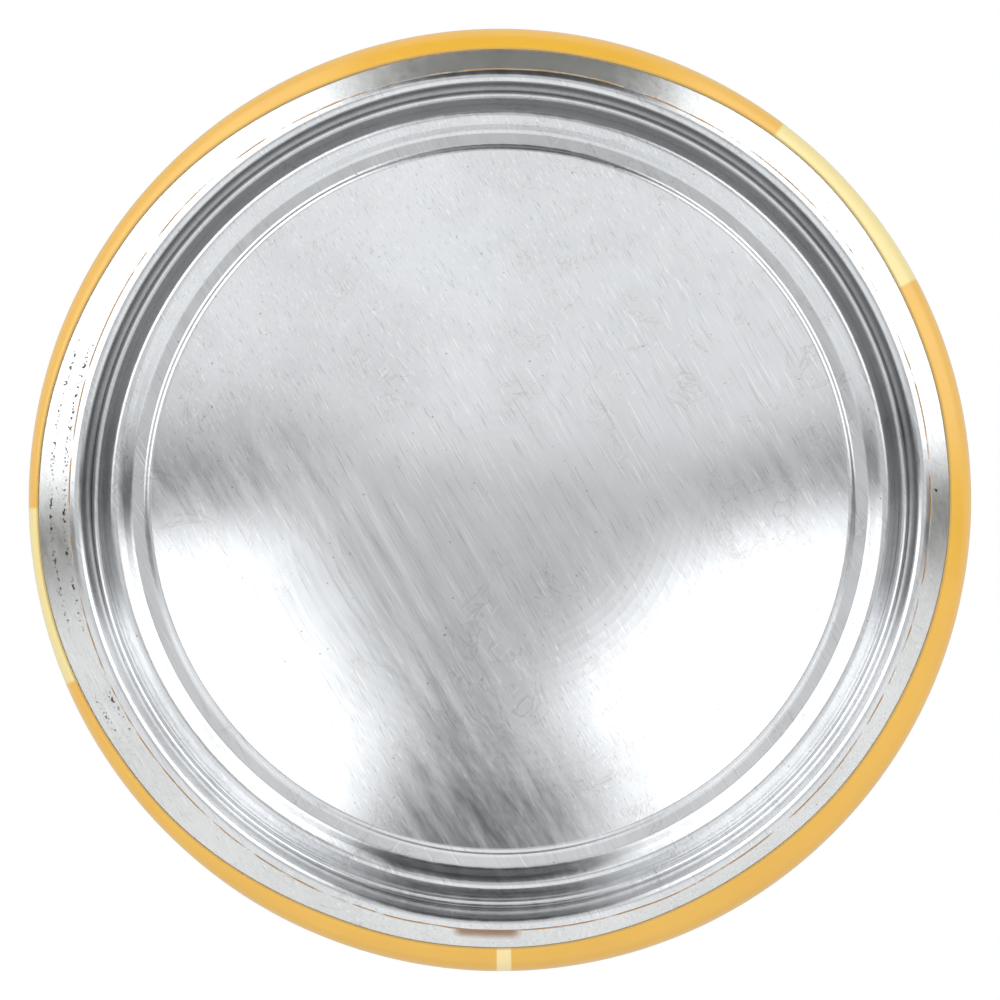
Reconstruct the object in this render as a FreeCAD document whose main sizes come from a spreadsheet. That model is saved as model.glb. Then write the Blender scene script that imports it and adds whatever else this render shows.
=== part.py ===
"""Tennis ball can: a drawn two-piece metal can in a shrink-film sleeve, with a double-seamed
ring-pull end, a plastic overcap and three felt-covered balls.

Frame: +Z runs up the can's axis and the origin is the centre of the ring that the can stands on.
The ring pull's nose is towards -Y. All sizes are in millimetres.
"""

import FreeCAD, Part
import math
import os
import Sketcher
from BOPTools import SplitAPI
from FreeCAD import Placement, Rotation, Vector

# Driving dimensions: alias, number and what it is. Every other size is worked out from these.
DIMENSIONS = [
    ("ball_diameter", 66.6, "a ball over its felt"),
    ("felt_thickness", 3.3, "felt cover"),
    ("core_wall", 3.4, "wall of the hollow rubber core"),
    ("seam_width", 2.6, "rubber seam between the two felt panels"),
    ("seam_recess", 0.45, "how far the seam lies below the felt"),
    ("ball_gap", 0.3, "clearance under each ball"),
    ("side_gap", 4.38, "clearance between a ball and the can's wall"),
    ("head_space", 1.2, "clearance between the top ball and the tear panel"),
    ("body_sheet", 0.22, "sheet of the can body"),
    ("film", 0.1, "shrink film with its ink"),
    ("film_edge", 0.32, "film stops this far outside the standing land"),
    ("film_top", 0.6, "film stops this far below the neck"),
    ("heel_width", 3.75, "wall to standing land"),
    ("heel_height", 2.7, "standing land up to the wall"),
    ("heel_bend", 2.6, "bend between heel and wall"),
    ("land_width", 0.65, "standing land, corner to corner"),
    ("nose_bend", 0.42, "bends beside the standing land"),
    ("leg_inset", 0.6, "how far the leg leans in"),
    ("leg_height", 4.5, "depth of the grooves behind the land"),
    ("groove_width", 0.55, "groove behind the leg, corner to corner"),
    ("groove_bend", 0.36, "bends of the base grooves"),
    ("bead_flank", 0.88, "width of each flank of the bead"),
    ("bead_crest", 0.84, "crest of the bead, corner to corner"),
    ("bead_height", 0.85, "height of the bead"),
    ("bead_bend", 1.0, "bends of the bead's crest"),
    ("step_width", 1.05, "flat between the bead and the panel"),
    ("step_height", 0.2, "panel rim, below that flat"),
    ("rim_width", 0.4, "slope from the flat to the panel rim"),
    ("rim_bend", 0.5, "bends of the panel rim"),
    ("dome_rise", 3.6, "how far the base panel domes into the can"),
    ("dome_corner", 14.0, "where the dome's slope and its crown would meet"),
    ("dome_bend", 104.0, "radius of the dome"),
    ("neck_height", 1.6, "sloping part of the neck"),
    ("neck_gap", 0.3, "neck, below the double seam"),
    ("neck_bend", 1.0, "bends of the neck"),
    ("end_sheet", 0.25, "sheet of the ring-pull end"),
    ("seam_overhang", 0.2, "double seam, outside the can's wall"),
    ("seam_height", 3.0, "height of the double seam"),
    ("seam_gap", 0.03, "space between the seam's layers"),
    ("seam_bend", 0.36, "bends of the end's curl"),
    ("hook_length", 1.9, "length of both hooks"),
    ("hook_bend", 0.14, "bends of the body hook"),
    ("compound_width", 0.5, "sealing compound, across the seam"),
    ("compound_height", 0.12, "thickness of the sealing compound"),
    ("countersink", 6.8, "top of the seam down to the chuck groove"),
    ("panel_depth", 5.2, "top of the seam down to the tear panel"),
    ("chuck_inset", 0.6, "how far the chuck wall leans in"),
    ("chuck_groove", 1.15, "chuck groove, corner to corner"),
    ("chuck_bend", 0.5, "bends of the chuck groove"),
    ("shelf_inset", 0.15, "how far the groove's inner wall leans in"),
    ("shelf_bend", 0.35, "bend at the top of that wall"),
    ("ring_shelf", 0.95, "what stays of the panel's edge after opening"),
    ("score_gap", 0.05, "score line between the ring and the tear panel"),
    ("ripple_middle", 20.8, "radius of the tear panel's ripple"),
    ("ripple_width", 3.2, "ripple, corner to corner"),
    ("ripple_slope", 0.9, "width of each side of the ripple"),
    ("ripple_depth", 0.5, "ripple, below the panel"),
    ("ripple_bend", 0.6, "bends of the ripple"),
    ("tab_rim_gap", 1.1, "tab nose, inside the score line"),
    ("tab_clearance", 0.12, "tab, above the panel"),
    ("tab_thickness", 1.3, "thickness of the tab's curled edge"),
    ("tab_length", 26.0, "nose to finger ring"),
    ("tab_nose_width", 10.0, "width at the nose"),
    ("tab_width", 21.0, "width at the finger ring"),
    ("tab_end_flat", 0.4, "straight stretch left at the finger ring's end"),
    ("tab_shoulder", 8.0, "middle of the finger ring to where its straight and slanted sides would meet"),
    ("tab_side_bend", 16.0, "bend between those sides"),
    ("tab_ring_wall", 3.3, "width of the finger ring"),
    ("tab_edge_round", 0.45, "rounding of the tab's edges"),
    ("tongue_width", 5.6, "riveted tongue"),
    ("tongue_length", 5.8, "riveted tongue"),
    ("tongue_sheet", 0.4, "sheet of the tongue"),
    ("tongue_gap", 0.45, "slot round the tongue"),
    ("tongue_bend", 1.6, "rounding of the tongue and its slot"),
    ("nose_bar", 1.5, "hinge line to the slot"),
    ("rivet_radius", 1.5, "stem of the rivet"),
    ("rivet_fit", 0.05, "clearance round the stem"),
    ("rivet_head_radius", 2.3, "head of the rivet"),
    ("rivet_head_height", 0.4, "head of the rivet"),
    ("cap_wall", 0.9, "wall of the overcap"),
    ("cap_side_gap", 0.2, "overcap skirt, outside the seam"),
    ("cap_seat_gap", 0.05, "overcap, above the seam"),
    ("cap_skirt", 10.5, "depth of the skirt below the seam's top"),
    ("cap_bend", 1.4, "shoulder of the overcap"),
    ("cap_rise", 1.6, "raised middle that locates a can stacked on top"),
    ("cap_rise_gap", 1.3, "raised middle, inside the standing land"),
    ("cap_rise_slope", 0.7, "slope of the raised middle's edge"),
    ("cap_rise_bend", 0.95, "bends of the raised middle"),
    ("cap_bead", 0.6, "rim bead, outside the skirt"),
    ("cap_bead_height", 1.8, "height of the rim bead"),
    ("cap_bead_round", 0.5, "rounding of the rim bead"),
    ("cap_ease_share", 0.25, "rounding of its two inner edges, as a share of that"),
]

# How each ball happens to lie, from the bottom up: degrees of turn and tilt.
BALL_TURNS = [(20, 35), (140, -50), (255, 70)]

# A ball's seam, on a sphere of radius 1: x = a cos t + b cos 3t, y = a sin t - b sin 3t and
# z = 2 sqrt(ab) sin 2t, with a + b = 1.
SEAM_A = 0.71
SEAM_B = 1 - SEAM_A
SEAM_POINTS = 48
# The cuts beside a seam run from this share of the felt's inner radius to this share of its outer one.
CUT_START, CUT_END = 0.9, 1.1
# Heights that differ by less than this count as level.
LEVEL = 1e-6

doc = FreeCAD.newDocument("tennis_ball_can")
sheet = doc.addObject("Spreadsheet::Sheet", "sizes")
for row, (alias, number, note) in enumerate(DIMENSIONS, start=1):
    sheet.set(f"A{row}", note)
    sheet.set(f"B{row}", str(number))
    sheet.setAlias(f"B{row}", alias)
doc.recompute()


class Size:
    """A number together with the formula that gives it from the spreadsheet's cells."""

    def __init__(self, number, formula):
        self.number = float(number)
        self.formula = formula

    def __add__(self, other):
        other = as_size(other)
        return Size(self.number + other.number, f"({self.formula} + {other.formula})")

    def __sub__(self, other):
        other = as_size(other)
        return Size(self.number - other.number, f"({self.formula} - {other.formula})")

    def __mul__(self, other):
        other = as_size(other)
        return Size(self.number * other.number, f"{self.formula} * {other.formula}")

    def __truediv__(self, other):
        other = as_size(other)
        return Size(self.number / other.number, f"{self.formula} / ({other.formula})")

    def __neg__(self):
        return self * -1


def as_size(item):
    """A plain number as a Size; a Size stays as it is."""
    return item if isinstance(item, Size) else Size(item, f"({item})")


def cell(alias):
    """The spreadsheet's cell with this alias."""
    return Size(sheet.get(alias), f"sizes.{alias}")


ZERO = as_size(0)

# Places that several pieces share, worked out from the driving dimensions.
ball_radius = cell("ball_diameter") / 2
wall_radius = ball_radius + cell("side_gap") + cell("body_sheet")
land_outer = wall_radius - cell("heel_width")
land_inner = land_outer - cell("land_width")
dome_top = cell("leg_height") - cell("step_height") + cell("dome_rise")
ball_pitch = cell("ball_diameter") + cell("ball_gap")
first_ball = dome_top + cell("body_sheet") + cell("ball_gap") + ball_radius
top_of_balls = first_ball + ball_pitch * (len(BALL_TURNS) - 1) + ball_radius
panel_bottom = top_of_balls + cell("head_space")
panel_top = panel_bottom + cell("end_sheet")
seam_top = panel_top + cell("panel_depth")
seam_bottom = seam_top - cell("seam_height")
# The double seam's layers, from the outside in: cover wall, body hook, cover hook, body wall, chuck wall.
seam_radius = wall_radius + cell("seam_overhang")
body_hook_outer = seam_radius - cell("end_sheet") - cell("seam_gap")
body_hook_inner = body_hook_outer - cell("body_sheet")
cover_hook_inner = body_hook_inner - cell("seam_gap") - cell("end_sheet")
neck_radius = cover_hook_inner - cell("seam_gap")
chuck_radius = neck_radius - cell("body_sheet") - cell("seam_gap") - cell("end_sheet")
compound_top = seam_top - cell("end_sheet") - cell("seam_gap")
body_top = compound_top - cell("compound_height") - cell("seam_gap")
neck_top = seam_bottom - cell("neck_gap")
wall_top = neck_top - cell("neck_height")
chuck_bottom = seam_top - cell("countersink")
groove_outer = chuck_radius - cell("chuck_inset")
groove_inner = groove_outer - cell("chuck_groove")
shelf_outer = groove_inner - cell("shelf_inset")
aperture_radius = shelf_outer - cell("ring_shelf")
panel_radius = aperture_radius - cell("score_gap")
# The tab turns about the middle of its curled nose.
tab_half = cell("tab_thickness") / 2
hinge_y = -(panel_radius - cell("tab_rim_gap") - tab_half)
hinge_z = panel_top + cell("tab_clearance") + tab_half
tab_end = cell("tab_length") - tab_half
tab_middle = tab_end - cell("tab_width") / 2
tongue_start = cell("nose_bar") + cell("tongue_gap")
rivet_reach = tongue_start + cell("tongue_length") / 2


class Drawing:
    """A sketch on one of its body's origin planes, whose dimensions are bound to the sheet."""

    def __init__(self, body, plane, name):
        self.sketch = body.newObject("Sketcher::SketchObject", name)
        origin_planes = {feature.Role: feature for feature in body.Origin.OriginFeatures}
        self.sketch.AttachmentSupport = [(origin_planes[plane], "")]
        self.sketch.MapMode = "FlatFace"
        self.rules = []
        self.bound = []

    def draw(self, shape, construction=False):
        return self.sketch.addGeometry(shape, construction)

    def rule(self, kind, *items):
        self.rules.append(Sketcher.Constraint(kind, *items))

    def measure(self, kind, *items, size):
        self.bound.append((len(self.rules), size.formula))
        self.rule(kind, *items, size.number)

    def place(self, item, end, x, y):
        """Puts one end of an item at x, y from the sketch's origin."""
        for kind, size, axis in (("DistanceX", x, -2), ("DistanceY", y, -1)):
            if size is ZERO:
                self.rule("PointOnObject", item, end, axis)
            else:
                self.measure(kind, -1, 1, item, end, size=size)

    def finish(self):
        self.sketch.addConstraint(self.rules)
        for index, formula in self.bound:
            self.sketch.setExpression(f"Constraints[{index}]", formula)
        return self.sketch

    def circle(self, x, y, radius):
        middle = Vector(x.number, y.number, 0)
        item = self.draw(Part.Circle(middle, Vector(0, 0, 1), radius.number))
        self.place(item, 3, x, y)
        self.measure("Radius", item, size=radius)
        return item

    def bent_line(self, corners, bends, offset=0.0, closed=False):
        """Straight lines with an arc at each bend, at an offset to the left of the corners.

        The lines and arcs meet in tangents. Gives the lines' and the arcs' numbers.
        """
        points = [Vector(x.number, y.number, 0) for x, y in corners]
        radii = [bend.number for bend in bends]
        count = len(points)
        spans = count if closed else count - 1
        ways = [(points[(i + 1) % count] - points[i]).normalize() for i in range(spans)]
        starts = [points[i] for i in range(spans)]
        ends = [points[(i + 1) % count] for i in range(spans)]
        arcs = []
        for i, radius in enumerate(radii):
            before = (i - 1) % spans if closed else i
            after = i if closed else i + 1
            way_in, way_out = ways[before], ways[after]
            turn = math.atan2(way_in.cross(way_out).z, way_in.dot(way_out))
            reach = radius * math.tan(abs(turn) / 2)
            corner = starts[after]
            ends[before] = corner - way_in * reach
            starts[after] = corner + way_out * reach
            to_left = math.copysign(1, turn)
            centre = ends[before] + left_of(way_in) * radius * to_left
            first = math.atan2(*reversed((ends[before] - centre)[:2]))
            angles = (first, first + turn) if turn > 0 else (first + turn, first)
            circle = Part.Circle(centre, Vector(0, 0, 1), radius - offset * to_left)
            arcs.append((self.draw(Part.ArcOfCircle(circle, *angles)), before, after, turn > 0))
        lines = []
        for start, end, way in zip(starts, ends, ways):
            shift = left_of(way) * offset
            lines.append(self.draw(Part.LineSegment(start + shift, end + shift)))
        for arc, before, after, leftwards in arcs:
            enter, leave = (1, 2) if leftwards else (2, 1)
            self.rule("Tangent", lines[before], 2, arc, enter)
            self.rule("Tangent", arc, leave, lines[after], 1)
        return lines, [arc[0] for arc in arcs]

    def dimension(self, corners, bends, lines, arcs, closed=False):
        """Puts the corners of a bent line in their places and gives its arcs their radii."""
        inner = corners if closed else corners[1:-1]
        for i, (x, y) in enumerate(inner):
            corner = self.draw(Part.Point(Vector(x.number, y.number, 0)), True)
            before, after = (lines[i - 1], lines[i]) if closed else (lines[i], lines[i + 1])
            self.rule("PointOnObject", corner, 1, before)
            self.rule("PointOnObject", corner, 1, after)
            self.place(corner, 1, x, y)
            self.measure("Radius", arcs[i], size=bends[i])

    def outline(self, corners, bends):
        """A closed outline with rounded corners."""
        lines, arcs = self.bent_line(corners, bends, closed=True)
        self.dimension(corners, bends, lines, arcs, closed=True)

    def strip(self, corners, bends, thickness, side):
        """A bent strip of one thickness, to the left (+1) or right (-1) of its corners."""
        lines, arcs = self.bent_line(corners, bends)
        self.dimension(corners, bends, lines, arcs)
        self.place(lines[0], 1, *corners[0])
        self.place(lines[-1], 2, *corners[-1])
        others, other_arcs = self.bent_line(corners, bends, offset=side * thickness.number)
        for arc, other in zip(arcs, other_arcs):
            self.rule("Coincident", arc, 3, other, 3)
        for line, other in zip(lines, others):
            self.rule("Parallel", line, other)
        self.measure("Distance", others[0], 1, lines[0], size=thickness)
        for line, other, end in ((lines[0], others[0], 1), (lines[-1], others[-1], 2)):
            near = point_at(self.sketch, line, end)
            far = point_at(self.sketch, other, end)
            cap = self.draw(Part.LineSegment(near, far))
            self.rule("Coincident", cap, 1, line, end)
            self.rule("Coincident", cap, 2, other, end)
            self.rule("Perpendicular", cap, line)


def left_of(way):
    return Vector(-way.y, way.x, 0)


def point_at(sketch, line, end):
    segment = sketch.Geometry[line]
    return segment.StartPoint if end == 1 else segment.EndPoint


def new_body(name):
    body = doc.addObject("PartDesign::Body", name)
    body.Label = name
    return body


def turned(body, drawing):
    """Revolves a drawing's outline about the can's axis."""
    feature = body.newObject("PartDesign::Revolution", drawing.sketch.Name + "_turned")
    feature.Profile = drawing.finish()
    feature.ReferenceAxis = (drawing.sketch, ["V_Axis"])
    feature.Angle = 360
    return feature


def turned_strip(name, corners, bends, thickness, side):
    """A body of revolution made of bent sheet."""
    body = new_body(name)
    drawing = Drawing(body, "XZ_Plane", name + "_section")
    drawing.strip(corners, bends, thickness, side)
    turned(body, drawing)
    return body


def base_corners():
    """The base from the can's axis out to its standing land, seen from below."""
    groove_outer_edge = land_inner - cell("leg_inset")
    bead_outer = groove_outer_edge - cell("groove_width")
    crest_outer = bead_outer - cell("bead_flank")
    crest_inner = crest_outer - cell("bead_crest")
    bead_inner = crest_inner - cell("bead_flank")
    flat_inner = bead_inner - cell("step_width")
    rim = flat_inner - cell("rim_width")
    groove = cell("leg_height")
    crest = groove - cell("bead_height")
    panel_edge = groove - cell("step_height")
    return [
        (ZERO, dome_top),
        (cell("dome_corner"), dome_top),
        (rim, panel_edge),
        (flat_inner, groove),
        (bead_inner, groove),
        (crest_inner, crest),
        (crest_outer, crest),
        (bead_outer, groove),
        (groove_outer_edge, groove),
        (land_inner, ZERO),
        (land_outer, ZERO),
    ]


def make_can_body():
    """Base, wall, neck and body hook, drawn from one sheet."""
    corners = base_corners() + [
        (wall_radius, cell("heel_height")),
        (wall_radius, wall_top),
        (neck_radius, neck_top),
        (neck_radius, body_top - cell("body_sheet")),
        (body_hook_inner, body_top - cell("body_sheet")),
        (body_hook_inner, body_top - cell("hook_length")),
    ]
    bends = ["dome_bend", "rim_bend", "rim_bend", "groove_bend", "bead_bend", "bead_bend", "groove_bend",
             "groove_bend", "nose_bend", "nose_bend", "heel_bend", "neck_bend", "neck_bend",
             "hook_bend", "hook_bend"]
    return turned_strip("can_body", corners, [cell(bend) for bend in bends], cell("body_sheet"), 1)


def make_shrink_sleeve():
    """Film round the wall and over the heel, cut off beside the standing land."""
    cut_height = cell("heel_height") * (cell("film_edge") / cell("heel_width"))
    corners = [
        (land_outer + cell("film_edge"), cut_height),
        (wall_radius, cell("heel_height")),
        (wall_radius, wall_top - cell("film_top")),
    ]
    return turned_strip("shrink_sleeve", corners, [cell("heel_bend")], cell("film"), -1)


def make_top_ring():
    """The end's curl, chuck wall, chuck groove and the shelf left round the opening."""
    corners = [
        (cover_hook_inner, seam_bottom + cell("hook_length")),
        (cover_hook_inner, seam_bottom),
        (seam_radius, seam_bottom),
        (seam_radius, seam_top),
        (chuck_radius, seam_top),
        (groove_outer, chuck_bottom),
        (groove_inner, chuck_bottom),
        (shelf_outer, panel_top),
        (aperture_radius, panel_top),
    ]
    bends = ["seam_bend"] * 4 + ["chuck_bend", "chuck_bend", "shelf_bend"]
    return turned_strip("top_ring", corners, [cell(bend) for bend in bends], cell("end_sheet"), 1)


def make_seam_compound():
    """Sealing compound between the end's curl and the top of the body hook."""
    body = new_body("seam_compound")
    middle = (neck_radius - cell("body_sheet") + body_hook_outer) / 2
    half = cell("compound_width") / 2
    corners = [(middle - half, compound_top), (middle + half, compound_top)]
    drawing = Drawing(body, "XZ_Plane", "seam_compound_section")
    drawing.strip(corners, [], cell("compound_height"), -1)
    turned(body, drawing)
    return body


def make_tear_panel():
    """The panel inside the score line, with its ripple and the rivet formed out of it."""
    ripple_outer = cell("ripple_middle") + cell("ripple_width") / 2
    ripple_inner = cell("ripple_middle") - cell("ripple_width") / 2
    ripple_bottom = panel_top - cell("ripple_depth")
    corners = [
        (panel_radius, panel_top),
        (ripple_outer, panel_top),
        (ripple_outer - cell("ripple_slope"), ripple_bottom),
        (ripple_inner + cell("ripple_slope"), ripple_bottom),
        (ripple_inner, panel_top),
        (ZERO, panel_top),
    ]
    body = turned_strip("tear_panel", corners, [cell("ripple_bend")] * 4, cell("end_sheet"), 1)
    tongue_bottom = hinge_z - tab_half
    head_bottom = tongue_bottom + cell("tongue_sheet") + cell("rivet_fit")
    for name, radius, bottom, height in (
        ("rivet_stem", cell("rivet_radius"), panel_bottom, head_bottom - panel_bottom),
        ("rivet_head", cell("rivet_head_radius"), head_bottom, cell("rivet_head_height")),
    ):
        drawing = Drawing(body, "XY_Plane", name + "_section")
        drawing.circle(ZERO, hinge_y + rivet_reach, radius)
        pad(body, drawing, bottom, height)
    return body


def pad(body, drawing, bottom, height):
    """Raises a drawing's outline from the height bottom, in the body's own frame."""
    drawing.sketch.setExpression(".AttachmentOffset.Base.z", bottom.formula)
    feature = body.newObject("PartDesign::Pad", drawing.sketch.Name + "_raised")
    feature.Profile = drawing.finish()
    feature.setExpression("Length", height.formula)
    return feature


def at_hinge(body):
    """Puts a body's own frame at the tab's hinge: X along the nose, Y towards the finger ring."""
    body.setExpression(".Placement.Base.y", hinge_y.formula)
    body.setExpression(".Placement.Base.z", hinge_z.formula)


def make_pull_tab():
    """Curled tab with a round nose to turn about, a slot for its tongue and a finger ring."""
    body = new_body("pull_tab")
    at_hinge(body)
    half_nose = cell("tab_nose_width") / 2
    half_width = cell("tab_width") / 2
    shoulder = tab_middle - cell("tab_shoulder")
    end_bend = (cell("tab_width") - cell("tab_end_flat")) / 2
    outline = Drawing(body, "XY_Plane", "tab_outline")
    outline.outline(
        [(-half_nose, ZERO), (half_nose, ZERO), (half_width, shoulder), (half_width, tab_end),
         (-half_width, tab_end), (-half_width, shoulder)],
        [cell("tab_edge_round"), cell("tab_edge_round"), cell("tab_side_bend"), end_bend, end_bend,
         cell("tab_side_bend")])
    plate = pad(body, outline, -tab_half, cell("tab_thickness"))
    doc.recompute()
    feature = body.newObject("PartDesign::Fillet", "tab_curl")
    feature.Base = (plate, edges_beyond(plate.Shape, tab_half.number))
    feature.setExpression("Radius", cell("tab_edge_round").formula)

    nose = Drawing(body, "YZ_Plane", "tab_nose")
    nose.circle(ZERO, ZERO, tab_half)
    round_nose = body.newObject("PartDesign::Pad", "tab_nose_raised")
    round_nose.Profile = nose.finish()
    round_nose.Midplane = True
    round_nose.setExpression("Length", cell("tab_nose_width").formula)

    finger = Drawing(body, "XY_Plane", "finger_hole")
    finger.circle(ZERO, tab_middle, half_width - cell("tab_ring_wall"))
    cut_through(body, finger)
    half_slot = cell("tongue_width") / 2 + cell("tongue_gap")
    slot_end = tongue_start + cell("tongue_length") + cell("tongue_gap")
    slot = Drawing(body, "XY_Plane", "tongue_slot")
    slot.outline(
        [(-half_slot, cell("nose_bar")), (half_slot, cell("nose_bar")),
         (half_slot, slot_end), (-half_slot, slot_end)],
        [cell("tongue_bend")] * 4)
    cut_through(body, slot)
    return body


def edges_beyond(shape, reach):
    """Names of the level edges that lie further along +Y than reach."""
    names = []
    for number, edge in enumerate(shape.Edges, start=1):
        box = edge.BoundBox
        if box.ZLength < LEVEL and box.Center.y > reach:
            names.append(f"Edge{number}")
    return names


def cut_through(body, drawing):
    feature = body.newObject("PartDesign::Pocket", drawing.sketch.Name + "_cut")
    feature.Profile = drawing.finish()
    feature.Type = "ThroughAll"
    feature.Midplane = True
    return feature


def make_tab_tongue():
    """Riveted tongue of the tab, which stays on the panel; its bend is left open at the slot."""
    body = new_body("tab_tongue")
    at_hinge(body)
    half = cell("tongue_width") / 2
    end = tongue_start + cell("tongue_length")
    drawing = Drawing(body, "XY_Plane", "tongue_outline")
    drawing.outline([(-half, tongue_start), (half, tongue_start), (half, end), (-half, end)],
                    [cell("tongue_bend")] * 4)
    drawing.circle(ZERO, rivet_reach, cell("rivet_radius") + cell("rivet_fit"))
    pad(body, drawing, -tab_half, cell("tongue_sheet"))
    return body


def make_overcap():
    """Plastic lid: skirt with a rim bead, seat on the double seam and a raised middle."""
    skirt_radius = seam_radius + cell("cap_side_gap") + cell("cap_wall")
    skirt_bottom = seam_top - cell("cap_skirt")
    seat_top = seam_top + cell("cap_seat_gap") + cell("cap_wall")
    rise_radius = land_inner - cell("cap_rise_gap")
    rise_top = seat_top + cell("cap_rise")
    corners = [
        (skirt_radius, skirt_bottom),
        (skirt_radius, seat_top),
        (rise_radius, seat_top),
        (rise_radius - cell("cap_rise_slope"), rise_top),
        (ZERO, rise_top),
    ]
    bends = [cell("cap_bend"), cell("cap_rise_bend"), cell("cap_rise_bend")]
    body = turned_strip("overcap", corners, bends, cell("cap_wall"), 1)
    bead_inner = skirt_radius - cell("cap_wall") / 2
    bead_outer = skirt_radius + cell("cap_bead")
    bead_top = skirt_bottom + cell("cap_bead_height")
    bead = Drawing(body, "XZ_Plane", "rim_bead")
    ease = cell("cap_bead_round") * cell("cap_ease_share")
    bead.outline(
        [(bead_inner, skirt_bottom), (bead_outer, skirt_bottom),
         (bead_outer, bead_top), (bead_inner, bead_top)],
        [ease, cell("cap_bead_round"), cell("cap_bead_round"), ease])
    turned(body, bead)
    return body


def half_shell(name, outer, inner, lower):
    """Half of a hollow sphere, cut at its equator."""
    angles = (-90, 0) if lower else (0, 90)
    spheres = []
    for part, radius in (("outer", outer), ("inner", inner)):
        sphere = doc.addObject("Part::Sphere", f"{name}_{part}")
        sphere.setExpression("Radius", radius.formula)
        sphere.Angle1, sphere.Angle2 = angles
        spheres.append(sphere)
    shell = doc.addObject("Part::Cut", name)
    shell.Base, shell.Tool = spheres
    shell.Label = name
    return shell


def seam_point(angle):
    """A point of the ball's seam on the unit sphere, and the way across the seam there."""
    height = 2 * math.sqrt(SEAM_A * SEAM_B)
    point = Vector(
        SEAM_A * math.cos(angle) + SEAM_B * math.cos(3 * angle),
        SEAM_A * math.sin(angle) - SEAM_B * math.sin(3 * angle),
        height * math.sin(2 * angle))
    along = Vector(
        -SEAM_A * math.sin(angle) - 3 * SEAM_B * math.sin(3 * angle),
        SEAM_A * math.cos(angle) - 3 * SEAM_B * math.cos(3 * angle),
        2 * height * math.cos(2 * angle))
    return point, point.cross(along).normalize()


def seam_cut(lean, inner, outer):
    """A face through the felt at right angles to the ball, leaning from the seam by an angle."""
    edges = []
    for radius in (inner, outer):
        points = []
        for step in range(SEAM_POINTS):
            point, across = seam_point(2 * math.pi * step / SEAM_POINTS)
            points.append((point * math.cos(lean) + across * math.sin(lean)) * radius)
        curve = Part.BSplineCurve()
        curve.interpolate(Points=points, PeriodicFlag=True)
        edges.append(curve.toShape())
    return Part.makeRuledSurface(*edges)


def felt_and_seam():
    """The two felt panels and the strip of rubber between them, as shapes about the origin."""
    outer = ball_radius.number
    inner = (ball_radius - cell("felt_thickness")).number
    lean = (cell("seam_width") / cell("ball_diameter")).number
    cover = Part.makeSphere(outer).cut(Part.makeSphere(inner))
    cuts = [seam_cut(side * lean, CUT_START * inner, CUT_END * outer) for side in (-1, 1)]
    pieces = SplitAPI.slice(cover, cuts, "Split").Solids
    seam, *panels = sorted(pieces, key=lambda piece: piece.Volume)
    seam = seam.common(Part.makeSphere(outer - cell("seam_recess").number))
    panels.sort(key=lambda piece: piece.CenterOfMass.z + piece.CenterOfMass.x)
    return {"felt_a": panels[0], "felt_b": panels[1], "seam": seam}


def make_balls():
    """Hollow rubber cores, felt panels and seams, each ball turned its own way."""
    core_outer = ball_radius - cell("felt_thickness")
    core_inner = core_outer - cell("core_wall")
    cover = felt_and_seam()
    pieces = []
    for index, (turn, tilt) in enumerate(BALL_TURNS):
        name = f"ball_{index + 1}"
        for half, lower in (("core_lower", True), ("core_upper", False)):
            pieces.append(half_shell(f"{name}_{half}", core_outer, core_inner, lower))
        for part, shape in cover.items():
            feature = doc.addObject("Part::Feature", f"{name}_{part}")
            feature.Label = f"{name}_{part}"
            feature.Shape = shape
            pieces.append(feature)
        height = first_ball + ball_pitch * index
        lie = Rotation(Vector(0, 0, 1), turn) * Rotation(Vector(1, 0, 0), tilt)
        for piece in pieces[-5:]:
            piece.Placement = Placement(Vector(0, 0, height.number), lie)
            piece.setExpression(".Placement.Base.z", height.formula)
    return pieces


nodes = [
    make_can_body(),
    make_shrink_sleeve(),
    make_top_ring(),
    make_seam_compound(),
    make_tear_panel(),
    make_pull_tab(),
    make_tab_tongue(),
    make_overcap(),
]
nodes += make_balls()
doc.recompute()

for item in doc.Objects:
    if "Invalid" in item.State or "Error" in item.State:
        raise RuntimeError(f"{item.Name} failed: {item.State}")
for node in nodes:
    if node.Shape.isNull() or not node.Shape.isValid() or len(node.Shape.Solids) != 1:
        raise RuntimeError(f"{node.Label} is not one valid solid")

os.makedirs("parts", exist_ok=True)
for node in nodes:
    node.Shape.exportStep(f"parts/{node.Label}.step")
    print(f"{node.Label}: {node.Shape.Volume:.1f} mm3")
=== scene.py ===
"""The looks of a tennis ball can: tinplate body, printed shrink sleeve, ring-pull end, overcap and balls.

Metres, in the frame of the CAD model: +Z up the can's axis, z = 0 where it stands. The tables of
sizes below are in millimetres.
"""
import math

import bmesh
import bpy
from mathutils import Matrix, Vector, kdtree, noise


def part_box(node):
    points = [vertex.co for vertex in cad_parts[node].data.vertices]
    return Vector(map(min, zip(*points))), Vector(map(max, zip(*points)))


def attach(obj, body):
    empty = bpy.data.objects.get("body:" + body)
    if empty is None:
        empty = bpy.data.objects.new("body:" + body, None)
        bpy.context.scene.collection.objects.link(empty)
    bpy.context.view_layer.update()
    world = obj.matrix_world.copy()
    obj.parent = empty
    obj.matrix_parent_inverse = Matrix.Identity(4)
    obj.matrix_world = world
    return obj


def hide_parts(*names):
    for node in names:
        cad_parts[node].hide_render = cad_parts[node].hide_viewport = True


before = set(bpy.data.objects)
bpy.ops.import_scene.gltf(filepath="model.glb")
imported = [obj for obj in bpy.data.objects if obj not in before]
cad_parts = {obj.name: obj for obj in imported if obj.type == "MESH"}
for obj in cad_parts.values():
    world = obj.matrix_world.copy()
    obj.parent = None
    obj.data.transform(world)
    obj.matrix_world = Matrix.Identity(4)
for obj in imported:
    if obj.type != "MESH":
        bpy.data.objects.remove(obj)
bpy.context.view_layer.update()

MM = 0.001

# ---------------------------------------------------------------- sizes, in millimetres

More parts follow.
